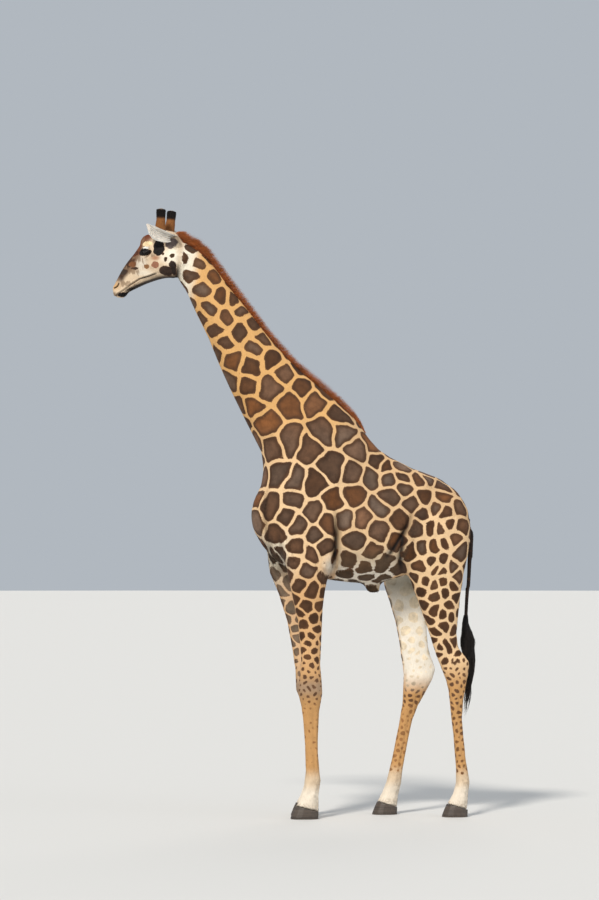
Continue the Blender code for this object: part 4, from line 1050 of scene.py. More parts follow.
lies_back = ramp(z, 1.9, 2.3) * ramp(z, 3.0, 2.7) * ramp(head_side(points), -0.1, -0.3)
skin_values = {
    "ground": ("FLOAT_COLOR", ground), "patch": ("FLOAT_COLOR", patch),
    "patch_edge": ("FLOAT", marks), "lies_back": ("FLOAT", lies_back),
    "kinds_a": ("FLOAT_VECTOR", kinds[:, :3]), "kinds_b": ("FLOAT_VECTOR", kinds[:, 3:]),
}


def unspotted(colours, lying):
    """The same values for a piece that has no patches."""
    none = np.full((len(colours), 3), -0.1)
    return {
        "ground": ("FLOAT_COLOR", colours), "patch": ("FLOAT_COLOR", colours * 0.3),
        "patch_edge": ("FLOAT", none[:, 0]), "lies_back": ("FLOAT", np.full(len(colours), lying)),
        "kinds_a": ("FLOAT_VECTOR", none), "kinds_b": ("FLOAT_VECTOR", none),
    }


for name, (kind, values) in skin_values.items():
    store(skin, name, kind, values)
coat = coat_material("coat_on_skin", True)
hair_coat = coat_material("coat_hair", False)
skin.data.materials.clear()
skin.data.materials.append(coat)
skin.data.shade_smooth()
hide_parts(*FLESH)
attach(skin, "root")
print("skin", len(skin.data.vertices), "corners,", len(skin.data.materials), "material")

# %% [markdown]
# ## Hair as mesh
#
# Blender's hair curves don't leave Blender, so every tuft here is a thin closed spike of mesh. One
# spike is modelled with operators: a triangle, extruded ring by ring and closed to a point. Tens of
# thousands of copies then go into one mesh, each bent along its own line. The copying is done with
# arrays, since an object for each tuft would take hours.

# %% One spike, many times
def spike(rings):
    """A closed spike: corners in units of width, with the ring's number as their height."""
    shape = bmesh.new()
    bmesh.ops.create_circle(shape, cap_ends=True, segments=3, radius=1)
    bmesh.ops.reverse_faces(shape, faces=shape.faces)
    rim = list(shape.edges)
    for _ in range(1, rings):
        grown = bmesh.ops.extrude_edge_only(shape, edges=rim)["geom"]
        rim = [item for item in grown if isinstance(item, bmesh.types.BMEdge)]
        bmesh.ops.translate(shape, verts=[item for item in grown if isinstance(item, bmesh.types.BMVert)],
                            vec=(0, 0, 1))
    tip = {vert for edge in rim for vert in edge.verts}
    bmesh.ops.pointmerge(shape, verts=list(tip), merge_co=(0, 0, rings - 1))
    bmesh.ops.recalc_face_normals(shape, faces=shape.faces)
    bmesh.ops.triangulate(shape, faces=shape.faces)
    shape.verts.index_update()
    corners = np.array([vert.co[:] for vert in shape.verts])
    faces = np.array([[vert.index for vert in face.verts] for face in shape.faces])
    shape.free()
    return corners, faces


def hair_mesh(name, lines, widths, across, roots=None, flatness=0.45, round_hairs=False):
    """Many spikes in one object. lines holds each hair's points from root to tip, widths its half
    width at each, across the way that it is broad, and roots its root's place on the layout. A
    spike that lies on the skin has a flat side outwards, so it is lit as the skin is."""
    count, rings, _ = lines.shape
    corners, faces = spike(rings)
    ring = np.rint(corners[:, 2]).astype(int)
    along = lines[:, -1] - lines[:, 0]
    across = across - (across * along).sum(1, keepdims=True) * along / (along ** 2).sum(1, keepdims=True)
    across /= np.linalg.norm(across, axis=1, keepdims=True)
    lift = np.cross(along, across)
    lift /= np.linalg.norm(lift, axis=1, keepdims=True)
    wide = widths[:, ring, None]
    verts = (lines[:, ring] - across[:, None] * corners[None, :, :1] * wide
             - lift[:, None] * corners[None, :, 1:2] * wide * flatness)
    corner_index = (faces[None] + (np.arange(count) * len(corners))[:, None, None]).ravel()
    mesh = bpy.data.meshes.new(name)
    mesh.vertices.add(count * len(corners))
    mesh.vertices.foreach_set("co", verts.astype(np.float32).ravel())
    mesh.loops.add(len(corner_index))
    mesh.loops.foreach_set("vertex_index", corner_index.astype(np.int32))
    mesh.polygons.add(count * len(faces))
    mesh.polygons.foreach_set("loop_start", np.arange(0, len(corner_index), 3, dtype=np.int32))
    mesh.update(calc_edges=True)
    if roots is not None:
        spot = np.stack((corners[:, 0] * 0.7, corners[:, 2] / (rings - 1) * 2 - 1), axis=1) * 0.0015
        flat = np.clip(roots[:, None] + spot[None], 0, 1).reshape(-1, 2)
        mesh.uv_layers.new(name=BAKE_MAP).data.foreach_set("uv", flat[corner_index].ravel())
    obj = bpy.data.objects.new(name, mesh)
    bpy.context.collection.objects.link(obj)
    if round_hairs:
        obj.data.shade_smooth()
    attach(obj, "root")
    return obj, len(corners)


class Hide:
    """The skin's triangles, ready for roots to be picked on them."""

    def __init__(self, obj, values):
        mesh = obj.data
        mesh.calc_loop_triangles()
        count = len(mesh.loop_triangles)
        verts, loops = np.empty(count * 3, dtype=np.int32), np.empty(count * 3, dtype=np.int32)
        mesh.loop_triangles.foreach_get("vertices", verts)
        mesh.loop_triangles.foreach_get("loops", loops)
        self.verts, self.loops = verts.reshape(-1, 3), loops.reshape(-1, 3)
        flat = np.empty(len(mesh.loops) * 2, dtype=np.float32)
        mesh.uv_layers[BAKE_MAP].data.foreach_get("uv", flat)
        self.layout = flat.reshape(-1, 2)
        self.points, self.normals = coordinates(obj), normals_of(obj)
        self.values = values
        a, b, c = self.points[self.verts].transpose(1, 0, 2)
        self.area = np.linalg.norm(np.cross(b - a, c - a), axis=1) / 2
        self.middle = (a + b + c) / 3

    def pick(self, count, density, seed):
        """Random roots, as many to the square metre as density says for each triangle's middle."""
        random = np.random.default_rng(seed)
        weight = self.area * density
        chosen = random.choice(len(weight), count, p=weight / weight.sum())
        share = random.dirichlet((1, 1, 1), count)
        mixed = lambda table: (table[self.verts[chosen]] * share[..., None]).sum(axis=1)
        roots = {"point": mixed(self.points), "normal": mixed(self.normals), "random": random,
                 "layout": (self.layout[self.loops[chosen]] * share[..., None]).sum(axis=1)}
        roots["normal"] /= np.linalg.norm(roots["normal"], axis=1, keepdims=True)
        for name, (kind, table) in self.values.items():
            flat = table if table.ndim == 2 else table[:, None]
            roots[name] = (kind, mixed(flat) if table.ndim == 2 else mixed(flat)[:, 0])
        return roots


hide = Hide(skin, skin_values)
print("skin area", round(float(hide.area.sum()), 1), "square metres;",
      len(spike(3)[1]), "triangles in a bent spike")

# %% [markdown]
# ### The short coat
#
# Over the body the hair is 10 to 20 mm long and lies flat. It runs from the muzzle to the poll,
# down the neck, back along the trunk and down the legs. The bump does most of the work. The
# mesh tufts give the outline its nap from every side and are shortest on the face and feet.

# %% Which way the hair lies
def lie(points):
    """The way the hair runs over each point."""
    down_neck = np.array((0.55, 0.0, -0.83))
    along_back = np.array((0.86, 0.0, -0.50))
    down_leg = np.array((0.12, 0.0, -0.99))
    z = points[:, 2]
    way = np.tile(down_neck, (len(points), 1))
    way = blend(way, along_back, ramp(z, 3.25, 2.75) * ramp(points[:, 0], -0.2, 0.15))
    way = blend(way, down_leg, ramp(z, 2.35, 1.95))
    way = blend(way, -TO_MUZZLE + 0.25 * OFF_BROW, ramp(head_side(points), -0.08, 0.01))
    return way


def tufts(name, roots, length, width, rise, rings=2, wander=0.25, droop=0.0):
    """Lays a spike at each root along the lie of the coat, lifted by rise at its tip."""
    random, normal = roots["random"], roots["normal"]
    count = len(normal)
    way = lie(roots["point"]) + random.normal(0, wander, (count, 3))
    way -= (way * normal).sum(axis=1, keepdims=True) * normal
    way /= np.linalg.norm(way, axis=1, keepdims=True)
    long = (length * random.uniform(0.75, 1.15, count))[:, None]
    steps = np.linspace(0, 1, rings)
    lines = np.stack([roots["point"] - normal * 0.0008 + way * long * step
                      + normal * long * rise * (step - 0.35 * step * step)
                      - np.array((0, 0, 1)) * long * droop * step * step for step in steps], axis=1)
    shape = np.sqrt(1 - steps * 0.75)
    widths = (width * random.uniform(0.8, 1.25, count))[:, None] * shape[None]
    obj, per_tuft = hair_mesh(name, lines, widths, np.cross(normal, way), roots["layout"])
    for key in skin_values:
        kind, values = roots[key]
        store(obj, key, kind, np.repeat(values, per_tuft, axis=0))
    obj.data.materials.append(hair_coat)
    return obj


middle = hide.middle
facing_head = head_side(middle)
at_middle = face_frame(middle)
EYE_FRONT, LID_REACH = 0.115, 0.037
on_eye = np.linalg.norm(at_middle - (EYE[0], EYE_FRONT, EYE[2]), axis=1) < LID_REACH
at_mouth = (path_distance(at_middle[:, [0, 2]], MOUTH)[0] < 0.004) & (at_middle[:, 0] > 0.28)
bare = on_eye | at_mouth & (facing_head > 0)
bare |= (path_distance(at_middle[:, [0, 2]], NOSTRIL_SLIT)[0] < 0.009) & (facing_head > 0)
bare |= (facing_head > 0) & (at_middle[:, 0] > 0.685)
on_trunk = ramp(middle[:, 2], 1.2, 1.9) * (facing_head < -0.01)
on_leg = ramp(middle[:, 2], 1.9, 1.2)
coat_count = 43000
for number in range(4):
    roots = hide.pick(coat_count, (facing_head < 0.02) * (on_trunk + 1.5 * on_leg + 0.05), 20 + number)
    level = roots["point"][:, 2]
    length = 0.0095 + 0.0075 * ramp(level, 1.0, 2.0) + 0.003 * ramp(-roots["normal"][:, 2], 0.4, 0.9)
    length *= 0.55 + 0.45 * ramp(level, 0.12, 0.35)
    tufts(f"coat_tufts_{number + 1}", roots, length, length * 0.075, 0.075)
roots = hide.pick(coat_count, (facing_head > -0.02) * ~bare, 31)
forward = face_frame(roots["point"])[:, 0]
length = 0.0042 + 0.0040 * ramp(forward, 0.50, 0.15)
tufts("face_tufts", roots, length, length * 0.11, 0.10)
print("five coats of", coat_count, "tufts")

# %% [markdown]
# Longer tufts stand where the outline of a real animal is soft: along the brisket, behind the elbow,
# behind the fetlocks, over the coronets, under the belly, on the throat and the chin, and round the
# foot of each ear.

# %% Longer tufts
mx, my, mz = middle.T
leg_back = np.zeros(len(middle))
for name in ("fore_left", "fore_right", "hind_left", "hind_right"):
    low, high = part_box(f"{name}_foot")
    inside = ((mz > 0.10) & (mz < 0.46) & (mx > low.x - 0.05) & (mx < high.x + 0.05)
              & (my > low.y - 0.03) & (my < high.y + 0.03))
    leg_back += inside * ramp(mx - (low.x + high.x) / 2, 0.0, 0.05) * ramp(mz, 0.44, 0.32)
elbow = np.exp(-((mx - 0.21) / 0.06) ** 2 - ((mz - 1.98) / 0.08) ** 2)
brisket = (np.exp(-((mx + 0.22) / 0.10) ** 2) * ramp(mz, 2.35, 2.15) * ramp(mz, 1.8, 1.95)
           * ramp(abs(my), 0.22, 0.10))
belly = (ramp(hide.middle[:, 2], 2.05, 1.95) * ramp(abs(my), 0.16, 0.05)
         * (mx > 0.25) * (mx < 0.75) * (mz > 1.7))
chin = ((facing_head > 0) * np.exp(-((at_middle[:, 0] - 0.60) / 0.08) ** 2)
        * ramp(at_middle[:, 2], -0.060, -0.085))
throat = ramp(facing_head, -0.10, 0.0) * ramp(at_middle[:, 2], -0.15, -0.22) * (at_middle[:, 0] < 0.25)
ear_foot = np.exp(-(np.linalg.norm(at_middle - (0.0, 0.088, -0.070), axis=1) / 0.040) ** 2)
LONGER = (
    ("fetlock_tufts", leg_back, 4500, 0.018, 0.0009, 0.11, 0.12),
    ("elbow_tufts", elbow * (mz > 1.7), 1600, 0.024, 0.0013, 0.22, 0.20),
    ("brisket_tufts", brisket, 3500, 0.018, 0.0012, 0.16, 0.16),
    ("belly_tufts", belly, 3500, 0.016, 0.0012, 0.18, 0.16),
    ("throat_tufts", throat, 2500, 0.012, 0.0010, 0.20, 0.16),
    ("chin_tufts", chin, 1200, 0.013, 0.0007, 0.30, 0.20),
    ("ear_foot_tufts", ear_foot, 4500, 0.020, 0.0010, 0.38, 0.00),
    ("coronet_tufts", (mz < 0.135) * 1.0, 3000, 0.015, 0.0011, 0.22, 0.10),
)
for seed, (name, density, count, length, width, rise, droop) in enumerate(LONGER):
    count = count
    roots = hide.pick(count, density + 1e-9, 60 + seed)
    tufts(name, roots, np.full(count, length), np.full(count, width), rise, 3, 0.22, droop)
print(len(LONGER), "kinds of longer tuft")

# %% [markdown]
# ## Eyes
#
# A giraffe's eye looks all dark: a brown-black iris with a wide, level pupil, and hardly any
# white. The ball is a sphere with the clear cornea swelling a little in front, and a hard gloss
# does the rest. The lids' edge is a dark bare rim that rests on the ball, made by carrying a small
# round section along the almond outline. Long straight lashes stand out over it.

# %% Eyeballs
def eye_material():
    shader = Shader("eye")
    ring = shader.attribute("from_pupil", "Fac")
    speck = shader.math("MULTIPLY", shader.math("SUBTRACT", shader.noise(900, 3), 0.5), 0.22)
    ring = shader.math("ADD", ring, speck)
    iris = shader.mix(shader.map(ring, 1.0, 1.6), (0.018, 0.009, 0.006, 1), (0.040, 0.020, 0.011, 1))
    colour = shader.mix(shader.map(ring, 0.92, 1.06), (0.004, 0.004, 0.005, 1), iris)
    edge = shader.map(shader.attribute("from_middle", "Fac"), 0.86, 0.93)
    colour = shader.mix(edge, colour, (0.030, 0.022, 0.019, 1))
    return shader.finish(Base_Color=colour, Roughness=0.10, Coat_Weight=0.35, Coat_Roughness=0.03,
                         Specular_IOR_Level=0.35)


eye_finish = eye_material()
for side, centre in EYES.items():
    along, up, out = eye_axes(side)
    ball = bmesh.new()
    bmesh.ops.create_uvsphere(ball, u_segments=64, v_segments=40, radius=EYE_RADIUS - 0.0004)
    from_pupil, from_middle = [], []
    for vert in ball.verts:
        level = vert.co.z / EYE_RADIUS
        bulge = 1 + 0.055 * math.exp(-((1 - level) / 0.16) ** 2)
        from_pupil.append(math.hypot(vert.co.x / 0.0125, vert.co.y / 0.0068) if level > 0 else 4.0)
        from_middle.append(math.hypot(vert.co.x, vert.co.y) / EYE_RADIUS if level > 0 else 1.0)
        place = centre + bulge * (vert.co.x * along + vert.co.y * up + vert.co.z * out)
        vert.co = Vector(place)
    bmesh.ops.recalc_face_normals(ball, faces=ball.faces)
    eye = added(f"eyeball_{side}", ball)
    store(eye, "from_pupil", "FLOAT", np.array(from_pupil))
    store(eye, "from_middle", "FLOAT", np.array(from_middle))
    eye.data.materials.append(eye_finish)
    eye.data.shade_smooth()
    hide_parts(f"eye_{side}")
    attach(eye, "root")
print("two eyes,", round(EYE_RADIUS * 2000), "mm across")

# %% [markdown]
# The lids end in a dark bare rim that lies on the ball. A small round section is carried along the
# almond outline and bridged ring to ring, a little thicker along the upper lid.

# %% Rims of the lids
RIM_STEPS, RIM_SIDES = 72, 10


def rim_place(side, turn, out_by):
    """A place on the lids' edge, turn radians round it, out_by outside the ball's surface."""
    along, up, out = eye_axes(side)
    across_side = math.cos(turn)
    up_side = math.sin(turn)
    length = ALMOND_LENGTH * (1.08 if across_side > 0 else 1.0)
    height = ALMOND_HEIGHT * (1.05 if up_side > 0 else 0.85)
    across = length * np.sign(across_side) * abs(across_side) ** 1.18
    upward = height * np.sign(up_side) * abs(up_side) ** 1.18
    reach = EYE_RADIUS + out_by
    forward = math.sqrt(max(reach ** 2 - across ** 2 - upward ** 2, 0.0001))
    return EYES[side] + across * along + upward * up + forward * out


lid_skin = Shader("lid_skin")
lid_noise = lid_skin.noise(500, 3)
lid_skin = lid_skin.finish(
    Base_Color=lid_skin.mix(lid_noise, (0.012, 0.010, 0.009, 1), (0.034, 0.026, 0.022, 1)), Roughness=0.42,
    Normal=lid_skin.add("Bump", {"Strength": 0.5, "Distance": 0.0006, "Height": lid_noise})[0])
for side in EYES:
    rim = bmesh.new()
    rings = []
    for step in range(RIM_STEPS):
        turn = 2 * math.pi * step / RIM_STEPS
        here = rim_place(side, turn, 0.0024)
        run = rim_place(side, turn + 0.03, 0.0024) - rim_place(side, turn - 0.03, 0.0024)
        upper = max(math.sin(turn), 0)
        thick = 0.0028 + 0.0014 * upper
        run /= np.linalg.norm(run)
        off_ball = here - EYES[side]
        off_ball /= np.linalg.norm(off_ball)
        sideways = np.cross(run, off_ball)
        made = bmesh.ops.create_circle(rim, segments=RIM_SIDES, radius=thick)["verts"]
        for vert in made:
            vert.co = Vector(here + vert.co.x * off_ball * 0.85 + vert.co.y * sideways * 1.5)
        rings.append([edge for vert in made for edge in vert.link_edges])
        rings[-1] = list(dict.fromkeys(rings[-1]))
    for first, second in zip(rings, rings[1:] + rings[:1]):
        bmesh.ops.bridge_loops(rim, edges=first + second)
    bmesh.ops.recalc_face_normals(rim, faces=rim.faces)
    lids = added(f"lids_{side}", rim)
    lids.data.materials.append(lid_skin)
    lids.data.shade_smooth()
    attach(lids, "root")
print("lids' rims of", RIM_STEPS, "rings")

# %% [markdown]
# There are three times as many lashes above the eye as below it, and the upper ones are more than
# twice as long. Each is a thin spike rooted on the rim, and the upper ones start outwards and droop.

# %% Lashes
lash_black = plain_material("lash_black", (0.010, 0.008, 0.007), 0.5)
for side in EYES:
    along, up, out = eye_axes(side)
    random = np.random.default_rng(11)
    turns = np.concatenate((random.uniform(0.25, 2.85, 150), random.uniform(3.6, 5.8, 50)))
    roots = np.array([rim_place(side, turn, 0.0036) for turn in turns])
    upper = (turns < math.pi)[:, None]
    fan = np.cos(turns)[:, None] * along * 0.55
    first = out * 0.9 + fan + np.where(upper, 0.30, -0.55) * up
    later = out * 0.55 + fan + np.where(upper, -0.35, -0.45) * up
    first, later = (way + random.normal(0, 0.10, way.shape) for way in (first, later))
    long = np.where(upper[:, 0], random.uniform(0.018, 0.027, len(turns)),
                    random.uniform(0.007, 0.012, len(turns)))
    steps = np.linspace(0, 1, 4)
    lines = np.stack([roots + long[:, None] * (first * step + (later - first) * step * step * 0.5)
                      for step in steps], axis=1)
    widths = np.full((len(turns), 1), 0.00055) * (1 - 0.7 * steps)[None]
    lashes, _ = hair_mesh(f"lashes_{side}", lines, widths, np.tile(along, (len(turns), 1)), flatness=0.8)
    lashes.data.materials.append(lash_black)
print("lashes on both eyes")

# %% [markdown]
# ## Ears
#
# An ear is a leaf of gristle, cupped round its middle line and narrow at the root. A flat grid,
# bent by a few widths and depths, makes it faster and more evenly than sculpting, and the solidify
# operator gives it a wall.

# %% The ears' shape
EAR_LENGTH, EAR_TOP = 0.272, 0.017
EAR_ROOT = (-0.014, 0.084, -0.076)
EAR_STATIONS = np.array((
    # share of the length, width, depth of the cup
    (0.00, 0.030, 0.024), (0.08, 0.046, 0.030), (0.20, 0.068, 0.033),
    (0.36, 0.086, 0.030), (0.52, 0.095, 0.024), (0.66, 0.095, 0.018), (0.80, 0.074, 0.011),
    (0.92, 0.038, 0.005), (1.00, 0.009, 0.001),
))
level_muzzle = np.array((TO_MUZZLE[0], TO_MUZZLE[1], 0))
level_muzzle /= np.linalg.norm(level_muzzle)


def ear_axes(way):
    """The ear's root, and its ways along, out of the cup and up across it."""
    root = on_head(EAR_ROOT[0], EAR_ROOT[1] * way, EAR_ROOT[2])
    outwards = TO_LEFT * way
    along = level_muzzle * 0.80 + outwards * 0.42 + np.array((0, 0, 0.40))
    along /= np.linalg.norm(along)
    facing = outwards - along * (outwards @ along)
    facing /= np.linalg.norm(facing)
    rise = np.cross(along, facing)
    return root, along, facing, rise * np.sign(rise[2])


def ear_width(share):
    return np.interp(share, EAR_STATIONS[:, 0], EAR_STATIONS[:, 1]) * 0.97


def ear_middle(share):
    """How far the ear's middle line lies above its axis. The upper edge is nearly straight."""
    return EAR_TOP + 0.004 * np.sin(math.pi * np.clip(share, 0, 1)) - ear_width(share) / 2


def ear_place(way, share, across):
    """A place on the ear: share of the way to the tip, and -1 to 1 across it."""
    root, along, facing, rise = ear_axes(way)
    share, across = np.asarray(share)[..., None], np.asarray(across)[..., None]
    cup = np.interp(share, EAR_STATIONS[:, 0], EAR_STATIONS[:, 2])
    ripple = 0.0012 * np.sin(across * 9) * (1 - share)
    ripple = ripple - 0.060 * ramp(share, 0.26, 0.02)
    return (root + along * share * EAR_LENGTH + rise * (across * ear_width(share) / 2 + ear_middle(share))
            + facing * (cup * (across ** 2 - 1) + ripple))


for side, way in (("left", 1), ("right", -1)):
    leaf = bmesh.new()
    bmesh.ops.create_grid(leaf, x_segments=64, y_segments=20, size=1)
    for vert in leaf.verts:
        share = vert.co.x * 0.485 + 0.515
        vert.co = Vector(ear_place(way, share, vert.co.y))
    bmesh.ops.recalc_face_normals(leaf, faces=leaf.faces)
    centre = Vector(ear_place(way, 0.4, 0.0))
    middle_face = min(leaf.faces, key=lambda face: (face.calc_center_median() - centre).length)
    if middle_face.normal @ Vector(ear_axes(way)[2]) < 0:
        bmesh.ops.reverse_faces(leaf, faces=leaf.faces)
    bmesh.ops.solidify(leaf, geom=leaf.faces[:], thickness=0.0045)
    bmesh.ops.smooth_vert(leaf, verts=leaf.verts[:], factor=0.3,
                          use_axis_x=True, use_axis_y=True, use_axis_z=True)
    ear = added(f"ear_{side}_leaf", leaf)
    places = coordinates(ear)
    root, along, facing, rise = ear_axes(way)
    share = (places - root) @ along / EAR_LENGTH
    across = 2 * ((places - root) @ rise - ear_middle(share)) / ear_width(share)
    within = ramp(normals_of(ear) @ facing, -0.1, 0.3) * ramp(abs(across), 0.98, 0.75)
    colours = np.tile(tint(240, 232, 216), (len(places), 1))
    colours = blend(colours, tint(232, 220, 208), within * 0.9)
    # Painted shade: inside the cup, the leaf darkens towards the root, deep in the cup.
    colours = blend(colours, tint(110, 94, 84), within * ramp(share, 0.50, 0.05) * 0.8)
    rows = 0.5 + 0.5 * np.cos(across * 15)
    colours = blend(colours, tint(150, 138, 128), within * rows * ramp(share, 0.92, 0.6) * 0.5)
    colours = blend(colours, tint(196, 178, 158), ramp(abs(across), 0.85, 1.0) * 0.5)
    for name, (kind, values) in unspotted(colours, 1.0).items():
        store(ear, name, kind, values)
    unwrapped(ear, np.zeros(len(places), dtype=int), [1.0])
    ear.data.materials.append(coat)
    ear.data.shade_smooth()
    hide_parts(f"ear_{side}")
    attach(ear, "root")
print("two ears,", round(EAR_LENGTH * 1000), "mm long")

# %% [markdown]
# Long hair stands in rows inside each ear and fringes its edges, and short hair covers its back. The
# spikes carry the same attributes as the coat, so that the coat's finish for hair serves them too.

# %% Hair in and round the ears
def coat_hairs(name, lines, widths, across, colours, layout):
    """Spikes that carry the coat's own attributes, all ground colour."""
    obj, per_hair = hair_mesh(name, lines, widths, across, layout)
    for name, (kind, values) in unspotted(np.repeat(colours, per_hair, axis=0), 1.0).items():
        store(obj, name, kind, values)
    obj.data.materials.append(hair_coat)
    return obj


for side, way in (("left", 1), ("right", -1)):
    random = np.random.default_rng(41)
    root, along, facing, rise = ear_axes(way)
    count = 3600
    row = random.choice((-0.80, -0.42, 0.0, 0.42, 0.80), count) + random.normal(0, 0.055, count)
    fringe = random.uniform(size=count) < 0.42
    row = np.where(fringe, np.sign(random.normal(size=count)) * random.uniform(0.93, 1.0, count), row)
    back = random.uniform(size=count) < 0.22
    row = np.where(back, random.uniform(-0.95, 0.95, count), row)
    share = np.where(fringe, random.uniform(0.12, 0.98, count), random.uniform(0.10, 0.82, count))
    roots = ear_place(way, share, row) - facing * np.where(back, 0.0052, 0.0)[:, None]
    tipwards = ear_place(way, np.clip(share + 0.02, 0, 1), row)
    tipwards -= ear_place(way, np.clip(share - 0.02, 0, 1), row)
    tipwards /= np.linalg.norm(tipwards, axis=1, keepdims=True)
    outward = (np.where(back, -1.0, 1.0)[:, None] * facing * 0.16
               + np.where(fringe, row * 0.45, 0)[:, None] * rise)
    outward = outward + random.normal(0, 0.07, (count, 3))
    long = np.where(fringe, 0.015, 0.034) * random.uniform(0.7, 1.2, count) * np.where(back, 0.35, 1.0)
    long *= 1 - 0.6 * ramp(share, 0.7, 1.0)
    steps = np.linspace(0, 1, 3)
    lines = np.stack([roots + long[:, None] * (tipwards * step + outward * (1.3 * step - 0.7 * step * step))
                      for step in steps], axis=1)
    widths = (random.uniform(0.0006, 0.0011, count))[:, None] * (1 - 0.7 * steps)[None]
    colours = tint(250, 246, 238) * random.uniform(0.80, 1.0, (count, 1))
    layout = np.stack((share * 0.4 + 0.3, row * 0.2 + 0.5), axis=1)
    coat_hairs(f"ear_{side}_hair", lines, widths, np.tile(rise, (count, 1)), colours, layout)
print("hair in five rows and a fringe")

# %% [markdown]
# ## Ossicones
#
# The two horns are bone under skin. Hair covers the shaft, red-brown and short, and stands in a
# black brush round the top. An old bull rubs the top bald. Each is a turned shape: half an outline
# spun round its axis, which makes cleaner rings than stretching a sphere, then leaned into place.

# %% Turn the ossicones
HORN_LENGTH = 0.227
HORN_OUTLINE = (
    (0.00, 0.0405), (0.10, 0.0418), (0.20, 0.0415), (0.32, 0.0402), (0.42, 0.0390), (0.55, 0.0362),
    (0.65, 0.0345), (0.76, 0.0345), (0.85, 0.0352), (0.91, 0.0345), (0.95, 0.0310), (0.975, 0.0245),
    (0.99, 0.0160), (0.997, 0.0080),
)


def horn_axes(way):
    base = on_head(0.088, 0.076 * way, 0.044)
    axis = np.array((0, 0, 1.0)) + 0.10 * TO_LEFT * way - 0.10 * TO_MUZZLE
    axis /= np.linalg.norm(axis)
    across = np.cross(axis, -TO_MUZZLE)
    across /= np.linalg.norm(across)
    return base, axis, across, np.cross(across, axis)


for side, way in (("left", 1), ("right", -1)):
    base, axis, across, forward = horn_axes(way)
    turned = bmesh.new()
    outline = [turned.verts.new((radius, 0, share * HORN_LENGTH)) for share, radius in HORN_OUTLINE]
    outline.append(turned.verts.new((0, 0, HORN_LENGTH)))
    outline.insert(0, turned.verts.new((0, 0, 0)))
    edges = [turned.edges.new(pair) for pair in zip(outline, outline[1:])]
    bmesh.ops.subdivide_edges(turned, edges=edges, cuts=2)
    bmesh.ops.spin(turned, geom=turned.verts[:] + turned.edges[:], axis=(0, 0, 1), cent=(0, 0, 0),
                   steps=40, angle=2 * math.pi, use_merge=True)
    bmesh.ops.remove_doubles(turned, verts=turned.verts, dist=0.0001)
    bmesh.ops.recalc_face_normals(turned, faces=turned.faces)
    shares = []
    for vert in turned.verts:
        share = vert.co.z / HORN_LENGTH
        shares.append(share)
        turn = math.atan2(vert.co.y, vert.co.x)
        knobs = 1 + 0.035 * math.sin(3 * turn + 9 * share) + 0.02 * math.sin(5 * turn - 14 * share + way)
        knobs = 1 + (knobs - 1) * (1 - share ** 6)
        vert.co = Vector(base + axis * vert.co.z + (across * vert.co.y + forward * vert.co.x) * knobs)
    bmesh.ops.recalc_face_normals(turned, faces=turned.faces)
    horn = added(f"ossicone_{side}_skin", turned)
    share = np.array(shares)
    colours = np.tile(tint(140, 89, 46), (len(share), 1))
    colours = blend(colours, tint(104, 70, 44), ramp(share, 0.30, 0.05) * 0.7)
    colours = blend(colours, tint(30, 24, 22), ramp(share, 0.62, 0.70))
    colours = blend(colours, tint(124, 104, 86), ramp(share, 0.965, 0.985))
    values = unspotted(colours, 0.0)
    for name, (kind, table) in values.items():
        store(horn, name, kind, table)
    unwrapped(horn, np.zeros(len(share), dtype=int), [1.0])
    horn.data.materials.append(coat)
    horn.data.shade_smooth()
    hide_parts(f"ossicone_{side}")
    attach(horn, "root")

    bark = Hide(horn, values)
    up_share = (bark.middle - base) @ axis / HORN_LENGTH
    count = 4000
    hairy = (up_share > 0.02) * (up_share < 0.95) * (1 + 1.6 * ramp(up_share, 0.62, 0.72))
    roots = bark.pick(count, hairy, 51)
    random = roots["random"]
    at_share = (roots["point"] - base) @ axis / HORN_LENGTH
    brush = ramp(at_share, 0.60, 0.72)
    way_up = axis * (0.9 + 0.1 * brush[:, None]) + roots["normal"] * (0.20 + 0.16 * brush[:, None])
    way_up = way_up + random.normal(0, 0.13, (count, 3))
    long = ((0.010 + 0.011 * brush) * random.uniform(0.7, 1.15, count)
            * (1 - 0.30 * brush - 0.30 * ramp(at_share, 0.86, 0.95)))
    steps = np.linspace(0, 1, 3)
    lines = np.stack([roots["point"] - roots["normal"] * 0.001
                      + long[:, None] * (way_up * step - roots["normal"] * 0.12 * step * step)
                      for step in steps], axis=1)
    widths = random.uniform(0.0006, 0.0010, count)[:, None] * (1 - 0.6 * steps)[None]
    colours = roots["ground"][1] * random.uniform(0.7, 1.15, (count, 1))
    coat_hairs(f"ossicone_{side}_hair", lines, widths, np.cross(roots["normal"], axis), colours,
               roots["layout"])
print("two ossicones,", round(HORN_LENGTH * 1000), "mm with the buried foot")

# %% [markdown]
# ## Hooves
#
# Each foot has two claws of dark horn with fine rings, one for each spell of growth, and a flat
# sole. The solid's facets are melted away by a fine remesh, the sole is set flat again, and the
# rings are pushed in with a sine of the height, which is truer than a bump because the edge
# shows them.

# %% Hooves
def horn_material():
    shader = Shader("hoof_horn")
    rings = shader.noise(9, 3, (0.15, 0.15, 9))
    grain = shader.noise(60, 3, (5, 5, 0.5))
    both = shader.math("ADD", shader.math("MULTIPLY", rings, 0.6), shader.math("MULTIPLY", grain, 0.4))
    colour = shader.mix(shader.map(both, 0.3, 0.7), (0.030, 0.022, 0.018, 1), (0.105, 0.078, 0.058, 1))
    bump = shader.add("Bump", {"Strength": 0.4, "Distance": 0.0012, "Height": both})[0]
    return shader.finish(Base_Color=colour, Roughness=0.48, Normal=bump)


